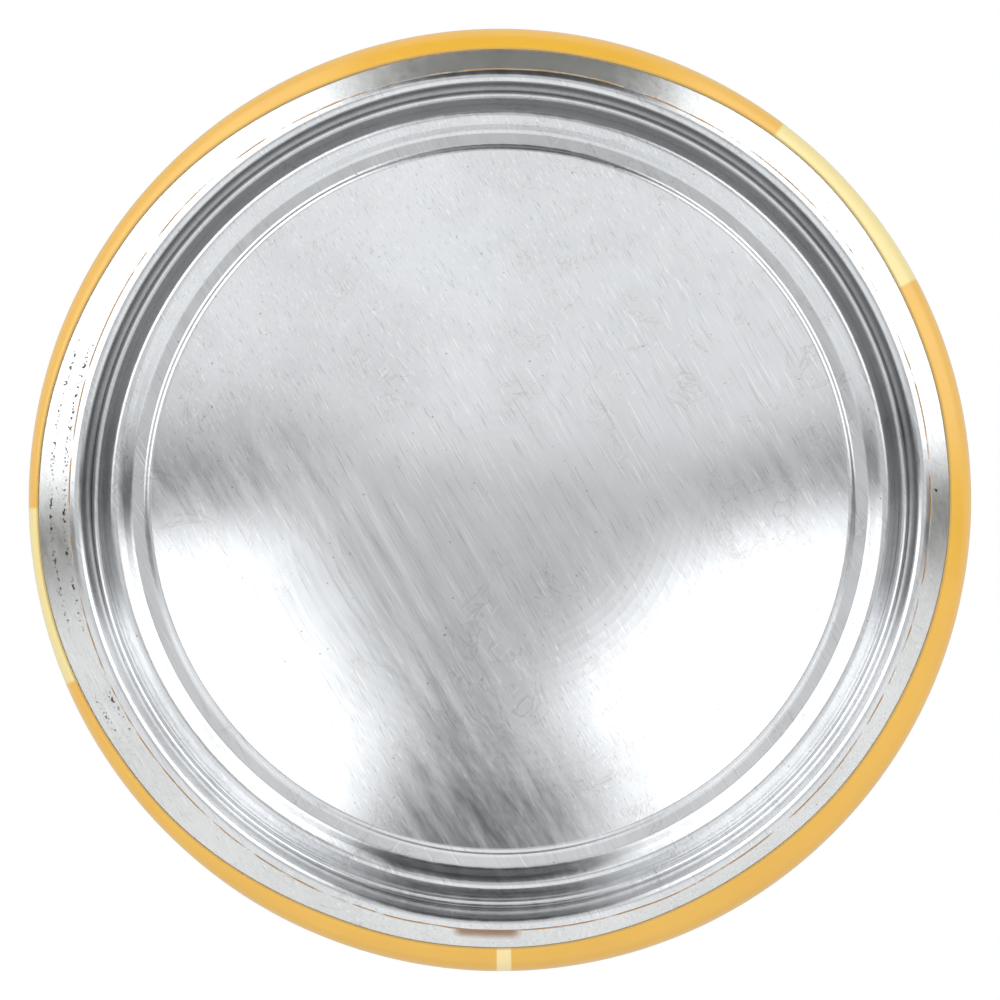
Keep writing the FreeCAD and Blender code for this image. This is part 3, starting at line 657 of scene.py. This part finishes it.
def film_ring(low, high, inner, outer, rows, columns=512):
    """A thin closed skin over the heel and wall between two edges given as functions of the angle.

    Its UV map holds the share of a full turn and the distance from the low edge in millimetres.
    """
    work = bmesh.new()
    layer = work.loops.layers.uv.new("film")
    skins = []
    for lift in (outer, inner):
        grid = []
        for j in range(columns):
            angle = 2 * math.pi * j / columns
            start, end = HEEL.where_radius(low(angle)), high(angle)
            line = []
            for share in rows:
                distance = start + (end - start) * share
                point, away = HEEL.read(distance)
                point = point + away * lift
                place = Vector((point.x * math.cos(angle), point.x * math.sin(angle), point.y)) * MM
                line.append((work.verts.new(place), distance - start))
            grid.append(line)
        skins.append(grid)
    outside, inside = skins
    for j in range(columns):
        k = (j + 1) % columns
        for skin in (outside, inside):
            for i in range(len(rows) - 1):
                quad = [skin[j][i], skin[k][i], skin[k][i + 1], skin[j][i + 1]]
                add_quad(work, layer, quad, j, columns)
        for i in (0, len(rows) - 1):
            add_quad(work, layer, [outside[j][i], outside[k][i], inside[k][i], inside[j][i]], j, columns)
    mesh = bpy.data.meshes.new("film")
    bmesh.ops.recalc_face_normals(work, faces=work.faces)
    work.to_mesh(mesh)
    work.free()
    return mesh


def add_quad(work, layer, quad, column, columns):
    face = work.faces.new([corner[0] for corner in quad])
    face.smooth = True
    for loop, (corner, share) in zip(face.loops, zip(quad, (0, 1, 1, 0))):
        loop[layer].uv = ((column + share) / columns, corner[1])


def make_sleeve():
    top = HEEL.length
    shares = [0.0, 0.002, 0.006, 0.01, 0.014, 0.018, 0.022, 0.026, 0.03, 0.034, 0.04, 0.05, 0.1, 0.3, 0.5,
              0.7, 0.9, 0.97, 0.99, 0.997, 1.0]
    mesh = film_ring(print_edge, lambda angle: top, 0.02, FILM_RADIUS - WALL_RADIUS - 0.01, shares, 384)
    new_piece("shrink_sleeve", mesh, "can", "sleeve_film", "shrink_sleeve", material=PRINT)
    margin = film_ring(cut_edge, lambda angle: HEEL.where_radius(print_edge(angle)) + 0.1, 0.01, 0.03,
                       [0, 0.01, 0.03, 0.06, 0.1, 0.2, 0.35, 0.5, 0.65, 0.8, 0.9, 1.0])
    new_piece("sleeve_clear_margin", margin, "can", "sleeve_film", material=CLEAR)


# ---------------------------------------------------------------- ring-pull end


def joined(*meshes):
    """One mesh of several."""
    work = bmesh.new()
    for mesh in meshes:
        work.from_mesh(mesh)
    whole = meshes[0].copy()
    work.to_mesh(whole)
    work.free()
    return whole


TOP_RING = [(37.32, 214.37), (37.32, 212.47), (38.1, 212.47), (38.1, 215.47), (36.79, 215.47),
            (36.19, 208.67), (35.04, 208.67), (34.89, 210.27), (33.94, 210.27)]
TOP_RING_BENDS = [0.36, 0.36, 0.36, 0.36, 0.5, 0.5, 0.35]
PANEL_RADIUS, PANEL_BOTTOM = 33.89, 210.02
RIPPLE_MIDDLE, RIPPLE_HALF, RIPPLE_SLOPE, RIPPLE_DEPTH = 20.8, 1.6, 0.9, 0.5
RIVET_Y, STEM_RADIUS, HEAD_RADIUS, HEAD_BOTTOM, HEAD_TOP = -27.29, 1.5, 2.3, 210.84, 211.24


def make_end():
    ring = lathed(sheet_section(TOP_RING, TOP_RING_BENDS, END_SHEET), END)
    new_piece("top_ring", ring, "can", "end_metal", "top_ring")
    floor = PANEL_BOTTOM
    corners = [
        (0, floor), (RIPPLE_MIDDLE - RIPPLE_HALF, floor),
        (RIPPLE_MIDDLE - RIPPLE_HALF + RIPPLE_SLOPE, floor - RIPPLE_DEPTH),
        (RIPPLE_MIDDLE + RIPPLE_HALF - RIPPLE_SLOPE, floor - RIPPLE_DEPTH),
        (RIPPLE_MIDDLE + RIPPLE_HALF, floor), (PANEL_RADIUS, floor)]
    panel = lathed(sheet_section(corners, [0.6] * 4, END_SHEET), END)
    # The rivet is drawn up from the panel: a stem, and a head spread over the tongue, dimpled on top.
    outline = [Vector(p) for p in (
        (0, PANEL_BOTTOM + 0.1), (STEM_RADIUS, PANEL_BOTTOM + 0.1), (STEM_RADIUS, HEAD_BOTTOM),
        (HEAD_RADIUS - 0.1, HEAD_BOTTOM), (HEAD_RADIUS, HEAD_BOTTOM + 0.12),
        (HEAD_RADIUS - 0.05, HEAD_TOP - 0.13), (HEAD_RADIUS - 0.2, HEAD_TOP - 0.02),
        (HEAD_RADIUS - 0.4, HEAD_TOP), (1.25, HEAD_TOP), (1.05, HEAD_TOP - 0.12),
        (0.6, HEAD_TOP - 0.2), (0, HEAD_TOP - 0.22))]
    rivet = lathed(outline, END, steps=64)
    rivet.transform(Matrix.Translation((0, RIVET_Y * MM, 0)))
    new_piece("tear_panel", joined(panel, rivet), "end_panel", "end_metal", "tear_panel")


def edge_roll_tree():
    """Rolls a round edge along the lines of a mesh."""
    tree = bpy.data.node_groups.new("edge_roll", "GeometryNodeTree")
    tree.interface.new_socket("Line", in_out="INPUT", socket_type="NodeSocketGeometry")
    tree.interface.new_socket("Radius", in_out="INPUT", socket_type="NodeSocketFloat")
    tree.interface.new_socket("Material", in_out="INPUT", socket_type="NodeSocketMaterial")
    tree.interface.new_socket("Geometry", in_out="OUTPUT", socket_type="NodeSocketGeometry")
    given = add(tree, "NodeGroupInput")
    line = add(tree, "GeometryNodeMeshToCurve", {"Mesh": given.outputs["Line"]})
    section = add(tree, "GeometryNodeCurvePrimitiveCircle", {
        "Resolution": 16, "Radius": given.outputs["Radius"]})
    rolled = add(tree, "GeometryNodeCurveToMesh", {
        "Curve": line.outputs["Curve"], "Profile Curve": section.outputs["Curve"], "Fill Caps": True})
    real = add(tree, "GeometryNodeRealizeInstances", {"Geometry": rolled.outputs["Mesh"]})
    painted = add(tree, "GeometryNodeSetMaterial", {
        "Geometry": real.outputs["Geometry"], "Material": given.outputs["Material"]})
    add(tree, "NodeGroupOutput", {"Geometry": painted.outputs["Geometry"]})
    return tree


EDGE_ROLL = edge_roll_tree()
HINGE_Y, HINGE_Z = -32.14, 211.04
TAB_HALF, RING_MIDDLE, FINGER_RADIUS, WEB_HALF = 0.65, 14.85, 7.2, 0.18
SLOT_HALF, SLOT_START, SLOT_BEND, HOLE_ROLL = 3.25, 1.5, 1.6, 0.5
NOSE_HALF, NOSE_ROUND = 5, 1.0
SIDE_HALF, SIDE_BEND, SHOULDER, TAB_END, END_BEND = 10.5, 16, 6.85, 25.35, 10.3


def closed_loop(corners, bends):
    """Points of a closed line with rounded corners."""
    start = (Vector(corners[-1]) + Vector(corners[0])) / 2
    return bent([start, *corners, start], bends, 6.0)[:-1]


def inset_loop(points, distance):
    """A closed line, drawn anticlockwise, moved inwards."""
    moved = []
    for i, point in enumerate(points):
        way = (points[(i + 1) % len(points)] - points[i - 1]).normalized()
        moved.append(point + Vector((-way.y, way.x)) * distance)
    return moved


def finger_arc(radius, gap, steps=72):
    """The finger ring's inner edge, open towards the nose: gap is the half angle left out there."""
    start, sweep = gap - math.pi / 2, 2 * (math.pi - gap)
    turns = [start + sweep * k / steps for k in range(steps + 1)]
    return [Vector((radius * math.cos(turn), RING_MIDDLE + radius * math.sin(turn))) for turn in turns]


def rolled_edge(points, radius, closed=True):
    line = bpy.data.meshes.new("line")
    edges = [(i, i + 1) for i in range(len(points) - 1)]
    if closed:
        edges.append((len(points) - 1, 0))
    line.from_pydata([(p.x * MM, (p.y + HINGE_Y) * MM, HINGE_Z * MM) for p in points], edges, [])
    return finish_mesh(baked(line, EDGE_ROLL, {"Radius": radius * MM, "Material": TAB}))


def stamped_web(loops, half):
    """A flat sheet with holes: the first loop is its edge."""
    curve = bpy.data.curves.new("web", "CURVE")
    curve.dimensions, curve.fill_mode, curve.extrude = "2D", "BOTH", half * MM
    for points in loops:
        spline = curve.splines.new("POLY")
        spline.points.add(len(points) - 1)
        for target, point in zip(spline.points, points):
            target.co = (point.x * MM, point.y * MM, 0, 1)
        spline.use_cyclic_u = True
    holder = bpy.data.objects.new("web", curve)
    bpy.context.scene.collection.objects.link(holder)
    mesh = bpy.data.meshes.new_from_object(holder.evaluated_get(bpy.context.evaluated_depsgraph_get()))
    bpy.data.objects.remove(holder)
    mesh.transform(Matrix.Translation((0, HINGE_Y * MM, HINGE_Z * MM)))
    finish_mesh(mesh)
    for polygon in mesh.polygons:
        polygon.use_smooth = False
    return mesh


def make_pull_tab():
    edge = closed_loop(
        [(-NOSE_HALF, -TAB_HALF), (NOSE_HALF, -TAB_HALF), (SIDE_HALF, SHOULDER), (SIDE_HALF, TAB_END),
         (-SIDE_HALF, TAB_END), (-SIDE_HALF, SHOULDER)],
        [NOSE_ROUND, NOSE_ROUND, SIDE_BEND, END_BEND, END_BEND, SIDE_BEND])
    spine = inset_loop(edge, TAB_HALF)
    rim = FINGER_RADIUS + HOLE_ROLL
    # The slot round the tongue runs into the finger hole, so the rim's roll stops short of it.
    gap = math.asin(SLOT_HALF / rim)
    mouth = finger_arc(rim, gap)
    slot = bent(
        [mouth[-1], (-SLOT_HALF, SLOT_START), (SLOT_HALF, SLOT_START), mouth[0]], [SLOT_BEND, SLOT_BEND], 6.0)
    web = stamped_web([spine, mouth + slot[1:-1]], WEB_HALF)
    roll = rolled_edge(finger_arc(rim, math.asin((SLOT_HALF + HOLE_ROLL) / rim)), HOLE_ROLL, closed=False)
    mesh = joined(rolled_edge(spine, TAB_HALF), roll, web)
    new_piece("pull_tab", mesh, "tab", "tab_metal", "pull_tab", material=TAB)


# ---------------------------------------------------------------- overcap

CAP_LINE = [(39.2, 204.97), (39.2, 216.42), (32.2, 216.42), (31.5, 218.02), (0, 218.02)]
CAP_BENDS, CAP_WALL = [1.4, 0.95, 0.95], 0.9
CAP_BEAD = [(38.75, 204.97), (39.8, 204.97), (39.8, 206.77), (38.75, 206.77)]


def make_overcap():
    shell = lathed(sheet_section(CAP_LINE, CAP_BENDS, CAP_WALL, 6.0), CAP)
    bead = lathed(closed_loop(CAP_BEAD, [0.125, 0.5, 0.5, 0.125]), CAP)
    new_piece("overcap", joined(shell, bead), "lid", "cap_plastic", "overcap")


# ---------------------------------------------------------------- balls

BALL_RADIUS, SEAM_WIDTH, SEAM_RECESS, SEAM_A = 33.3, 2.6, 0.45, 0.71
# Loose fibres: how many to a square metre, and their length and radius in metres. They are thicker
# than real ones so that they show.
FIBRES, FIBRE_LENGTH, FIBRE_RADIUS = 480000.0, 0.0026, 0.000035
# Each ball's middle height, and its turn about Z and tilt about X in degrees.
BALLS = {1: (41.72, 20, 35), 2: (108.62, 140, -50), 3: (175.52, 255, 70)}


def seam_place(t):
    """A point of the seam on a sphere of radius 1, and the direction across the seam there."""
    b = 1 - SEAM_A
    point = Vector((SEAM_A * math.cos(t) + b * math.cos(3 * t), SEAM_A * math.sin(t) - b * math.sin(3 * t),
                    2 * math.sqrt(SEAM_A * b) * math.sin(2 * t)))
    way = Vector((-SEAM_A * math.sin(t) - 3 * b * math.sin(3 * t),
                  SEAM_A * math.cos(t) - 3 * b * math.cos(3 * t),
                  4 * math.sqrt(SEAM_A * b) * math.cos(2 * t)))
    return point, point.cross(way).normalized()


def felt_cover():
    """The felt, about the origin: fluffed up at its edges and sunk along the seam."""
    tree = kdtree.KDTree(720)
    for k in range(720):
        tree.insert(seam_place(2 * math.pi * k / 720)[0] * BALL_RADIUS, k)
    tree.balance()
    work = bmesh.new()
    bmesh.ops.create_icosphere(work, subdivisions=7, radius=BALL_RADIUS)
    for vertex in work.verts:
        away = tree.find(vertex.co)[2]
        out = vertex.co.normalized()
        # Felt dips over the last millimetre beside the seam, and lies under the rubber inside it.
        dip = 1.3 if away < SEAM_WIDTH / 2 else 0.55 * math.exp(-(away - SEAM_WIDTH / 2) / 0.7)
        tufts = 0.09 * noise.noise(out * 22) + 0.06 * noise.noise(out * 60)
        vertex.co = out * (BALL_RADIUS - 0.22 - dip + tufts)
    for face in work.faces:
        face.smooth = True
    mesh = bpy.data.meshes.new("felt")
    work.to_mesh(mesh)
    work.free()
    mesh.materials.append(FELT)
    return mesh


def seam_strip(steps=360):
    """The rubber strip in the seam, crowned a little, about the origin."""
    half = SEAM_WIDTH / 2 / BALL_RADIUS
    across = [(-1.0, 0.25), (-0.6, 0.06), (0.0, 0.0), (0.6, 0.06), (1.0, 0.25), (1.0, 1.0), (-1.0, 1.0)]
    work = bmesh.new()
    rings = []
    for k in range(steps):
        point, side = seam_place(2 * math.pi * k / steps)
        rings.append([work.verts.new((point * math.cos(half * s) + side * math.sin(half * s))
                                     * (BALL_RADIUS - SEAM_RECESS - drop)) for s, drop in across])
    for k in range(steps):
        here, there = rings[k], rings[(k + 1) % steps]
        for i in range(len(across)):
            j = (i + 1) % len(across)
            work.faces.new([here[i], here[j], there[j], there[i]]).smooth = True
    bmesh.ops.recalc_face_normals(work, faces=work.faces)
    mesh = bpy.data.meshes.new("seam")
    work.to_mesh(mesh)
    work.free()
    mesh.materials.append(SEAM)
    return mesh


def fibre_tree():
    """Scatters loose felt fibres over a surface, lying flat in every direction."""
    tree = bpy.data.node_groups.new("loose_fibres", "GeometryNodeTree")
    tree.interface.new_socket("Surface", in_out="INPUT", socket_type="NodeSocketGeometry")
    tree.interface.new_socket("Per Square Metre", in_out="INPUT", socket_type="NodeSocketFloat")
    tree.interface.new_socket("Length", in_out="INPUT", socket_type="NodeSocketFloat")
    tree.interface.new_socket("Radius", in_out="INPUT", socket_type="NodeSocketFloat")
    tree.interface.new_socket("Seed", in_out="INPUT", socket_type="NodeSocketInt")
    tree.interface.new_socket("Material", in_out="INPUT", socket_type="NodeSocketMaterial")
    tree.interface.new_socket("Geometry", in_out="OUTPUT", socket_type="NodeSocketGeometry")
    given = add(tree, "NodeGroupInput")
    spots = add(tree, "GeometryNodeDistributePointsOnFaces", {
        "Mesh": given.outputs["Surface"], "Density": given.outputs["Per Square Metre"],
        "Seed": given.outputs["Seed"]})
    half = add(tree, "MULTIPLY", given.outputs["Length"], 0.5)
    back = add(tree, "MULTIPLY", half, -1.0)
    bow = add(tree, "MULTIPLY", half, 0.35)
    start = add(tree, "ShaderNodeCombineXYZ", {"X": back})
    middle = add(tree, "ShaderNodeCombineXYZ", {"Y": bow})
    end = add(tree, "ShaderNodeCombineXYZ", {"X": half})
    hair = add(tree, "GeometryNodeCurveQuadraticBezier", {
        "Resolution": 3, "Start": start, "Middle": middle, "End": end})
    section = add(tree, "GeometryNodeCurvePrimitiveCircle", {
        "Resolution": 3, "Radius": given.outputs["Radius"]})
    fibre = add(tree, "GeometryNodeCurveToMesh", {
        "Curve": hair.outputs["Curve"], "Profile Curve": section.outputs["Curve"]})
    spin = add(tree, "FunctionNodeRandomValue", {2: 0.0, 3: 2 * math.pi, "Seed": given.outputs["Seed"]})
    about = add(tree, "ShaderNodeCombineXYZ", {"Z": spin.outputs[1]})
    turned = add(tree, "FunctionNodeRotateRotation", {
        "Rotation": spots.outputs["Rotation"], "Rotate By": about}, rotation_space="LOCAL")
    laid = add(tree, "GeometryNodeInstanceOnPoints", {
        "Points": spots.outputs["Points"], "Instance": fibre.outputs["Mesh"],
        "Rotation": turned.outputs["Rotation"]})
    real = add(tree, "GeometryNodeRealizeInstances", {"Geometry": laid.outputs["Instances"]})
    painted = add(tree, "GeometryNodeSetMaterial", {
        "Geometry": real.outputs["Geometry"], "Material": given.outputs["Material"]})
    add(tree, "NodeGroupOutput", {"Geometry": painted.outputs["Geometry"]})
    return tree


def make_balls():
    fibres = fibre_tree()
    cover, strip = felt_cover(), seam_strip()
    for number, (height, turn, tilt) in BALLS.items():
        body = f"ball_{number}"
        place = (Matrix.Translation((0, 0, height * MM)) @ Matrix.Rotation(math.radians(turn), 4, "Z")
                 @ Matrix.Rotation(math.radians(tilt), 4, "X") @ Matrix.Scale(MM, 4))
        felt, seam = cover.copy(), strip.copy()
        felt.transform(place)
        seam.transform(place)
        fuzz = baked(felt, fibres, {
            "Per Square Metre": FIBRES, "Length": FIBRE_LENGTH, "Radius": FIBRE_RADIUS,
            "Seed": number, "Material": FELT})
        new_piece(f"{body}_felt", felt, body, "felt", f"{body}_felt_a", f"{body}_felt_b")
        new_piece(f"{body}_fibres", fuzz, body, "felt")
        new_piece(f"{body}_seam_strip", seam, body, "seam_rubber", f"{body}_seam")


# ---------------------------------------------------------------- CAD pieces that stay


def paint_cad_nodes():
    kept = {"seam_compound": COMPOUND, "tab_tongue": TAB}
    for number in BALLS:
        kept[f"ball_{number}_core_lower"] = CORE
        kept[f"ball_{number}_core_upper"] = CORE
    for name, material in kept.items():
        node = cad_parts[name]
        if not node.material_slots:
            node.data.materials.append(material)
        for place in node.material_slots:
            place.material = material


# ---------------------------------------------------------------- studio


def studio_world():
    """White behind the object; two soft boxes, a pale table and a dark room in its reflections."""
    world = bpy.data.worlds.new("studio")
    bpy.context.scene.world = world
    world.use_nodes = True
    tree = world.node_tree
    tree.nodes.clear()
    look = add(tree, "ShaderNodeTexCoord").outputs["Generated"]
    parts = add(tree, "ShaderNodeSeparateXYZ", {"Vector": look})
    x, y, z = (parts.outputs[axis] for axis in "XYZ")

    down = add(tree, "MAXIMUM", add(tree, "MULTIPLY", z, -1.0), 0.02)
    turn = add(tree, "MULTIPLY", add(tree, "ARCTAN2", y, x), 180 / math.pi)
    degrees = add(tree, "ADD", turn, add(tree, "MULTIPLY", add(tree, "LESS_THAN", turn, 0.0), 360.0))

    def slope_toward(toward):
        """How far a direction leans from straight down towards a bearing, as a slope."""
        way = math.radians(toward)
        out = add(tree, "ADD", add(tree, "MULTIPLY", x, math.cos(way)),
                  add(tree, "MULTIPLY", y, math.sin(way)))
        return add(tree, "DIVIDE", out, down)

    def soft_box(first, last, toward, reach, blur, soft=5.0):
        """Covers these degrees round the axis, from a straight edge near the axis outwards."""
        side = add(tree, "MULTIPLY", add(tree, "RISE", degrees, first - soft, first + soft),
                   add(tree, "SUBTRACT", 1.0, add(tree, "RISE", degrees, last - soft, last + soft)))
        edge = add(tree, "RISE", slope_toward(toward), reach - blur, reach + blur)
        return add(tree, "MULTIPLY", side, edge)

    def dimmed(light, shade, share):
        """Light with a share of it taken away where there is shade."""
        kept = add(tree, "SUBTRACT", 1.0, add(tree, "MULTIPLY", shade, share))
        return add(tree, "MULTIPLY", light, kept)

    right_box = soft_box(293, 355, 330, 0.30, 0.09)
    left_box = soft_box(181, 250, 229, 0.25, 0.09)
    table_side = add(tree, "MULTIPLY", add(tree, "RISE", degrees, 3, 14),
                     add(tree, "SUBTRACT", 1.0, add(tree, "RISE", degrees, 162, 176)))
    table = add(tree, "MULTIPLY", table_side, add(tree, "RISE", slope_toward(90), -0.02, 0.12))
    lean = add(tree, "SQRT", add(tree, "ADD", add(tree, "POWER", slope_toward(0), 2.0),
                                 add(tree, "POWER", slope_toward(90), 2.0)))
    # Pale things near the lens fill the middle, apart from a dark strip beside the right soft box.
    middle = add(tree, "SUBTRACT", 1.0, add(tree, "RISE", lean, 0.26, 0.44))
    strip = between(tree, slope_toward(330), 0.16, 0.27, 0.025)
    near_strip = add(tree, "MULTIPLY", strip,
                     add(tree, "SUBTRACT", 1.0, add(tree, "RISE", slope_toward(90), 0.07, 0.22)))
    table = dimmed(table, near_strip, 0.7)
    middle = dimmed(middle, strip, 0.85)
    middle = add(tree, "MULTIPLY", middle, add(tree, "SUBTRACT", 1.0, table))
    above = add(tree, "RISE", z, 0.02, 0.3)
    below = add(tree, "SUBTRACT", 1.0, above)
    light = add(tree, "MULTIPLY", right_box, 2.0)
    light = add(tree, "ADD", light, add(tree, "MULTIPLY", left_box, 2.0))
    light = add(tree, "ADD", light, add(tree, "MULTIPLY", table, 1.0))
    light = add(tree, "ADD", light, add(tree, "MULTIPLY", middle, 0.58))
    light = add(tree, "ADD", light, 0.05)
    light = add(tree, "ADD", add(tree, "MULTIPLY", light, below), add(tree, "MULTIPLY", above, 0.72))
    grey = add(tree, "ShaderNodeCombineColor", {
        "Red": add(tree, "MULTIPLY", light, 0.985), "Green": light,
        "Blue": add(tree, "MULTIPLY", light, 1.015)})
    surroundings = add(tree, "ShaderNodeBackground", {"Color": grey.outputs["Color"], "Strength": 1.0})
    backdrop = add(tree, "ShaderNodeBackground", {"Color": (1, 1, 1, 1), "Strength": 1.0})
    path = add(tree, "ShaderNodeLightPath")
    shown = add(tree, "ShaderNodeMixShader", {
        "Fac": path.outputs["Is Camera Ray"], 1: surroundings.outputs["Background"],
        2: backdrop.outputs["Background"]})
    add(tree, "ShaderNodeOutputWorld", {"Surface": shown.outputs["Shader"]})
    return world


def studio_floor():
    """A pale floor that shows from above only, so that the base can be seen through it."""
    size = 3.0
    mesh = bpy.data.meshes.new("floor")
    corners = [(-size, -size, 0), (size, -size, 0), (size, size, 0), (-size, size, 0)]
    mesh.from_pydata(corners, [], [(0, 1, 2, 3)])
    floor = bpy.data.objects.new("floor", mesh)
    bpy.context.scene.collection.objects.link(floor)
    material, tree, shader = new_material("studio_floor_white", Roughness=0.9)
    shader.inputs["Base Color"].default_value = srgb("#f2f2f0")
    side = add(tree, "ShaderNodeNewGeometry")
    clear = add(tree, "ShaderNodeBsdfTransparent")
    shown = add(tree, "ShaderNodeMixShader", {
        "Fac": side.outputs["Backfacing"], 1: shader.outputs["BSDF"], 2: clear.outputs["BSDF"]})
    tree.links.new(shown.outputs["Shader"], tree.nodes["Material Output"].inputs["Surface"])
    mesh.materials.append(material)
    floor.visible_shadow = False
    floor.visible_glossy = False
    floor.visible_diffuse = False
    floor.visible_transmission = False


def camera_below():
    """Looks straight up the axis at the base, with -Y at the top of the frame."""
    # How far below the base the camera stands, how high up the can is widest, and how much of the
    # frame the can fills.
    distance, widest, can_share = 0.6, 0.004, 0.943
    frame_width = 2 * FILM_RADIUS * MM / can_share
    data = bpy.data.cameras.new("camera")
    data.sensor_width = 36
    data.lens = data.sensor_width * (distance + widest) / frame_width
    data.clip_start = 0.01
    camera = bpy.data.objects.new("camera", data)
    bpy.context.scene.collection.objects.link(camera)
    right, up = Vector((1, 0, 0)), Vector((0, -1, 0))
    back = right.cross(up)
    turn = Matrix((right, up, back)).transposed().to_4x4()
    camera.matrix_world = Matrix.Translation(Vector((0, 0, -distance))) @ turn
    bpy.context.scene.camera = camera
    bpy.context.scene.view_settings.view_transform = "Standard"


make_can_body()
make_sleeve()
make_end()
make_pull_tab()
make_overcap()
make_balls()
paint_cad_nodes()
studio_world()
studio_floor()
camera_below()
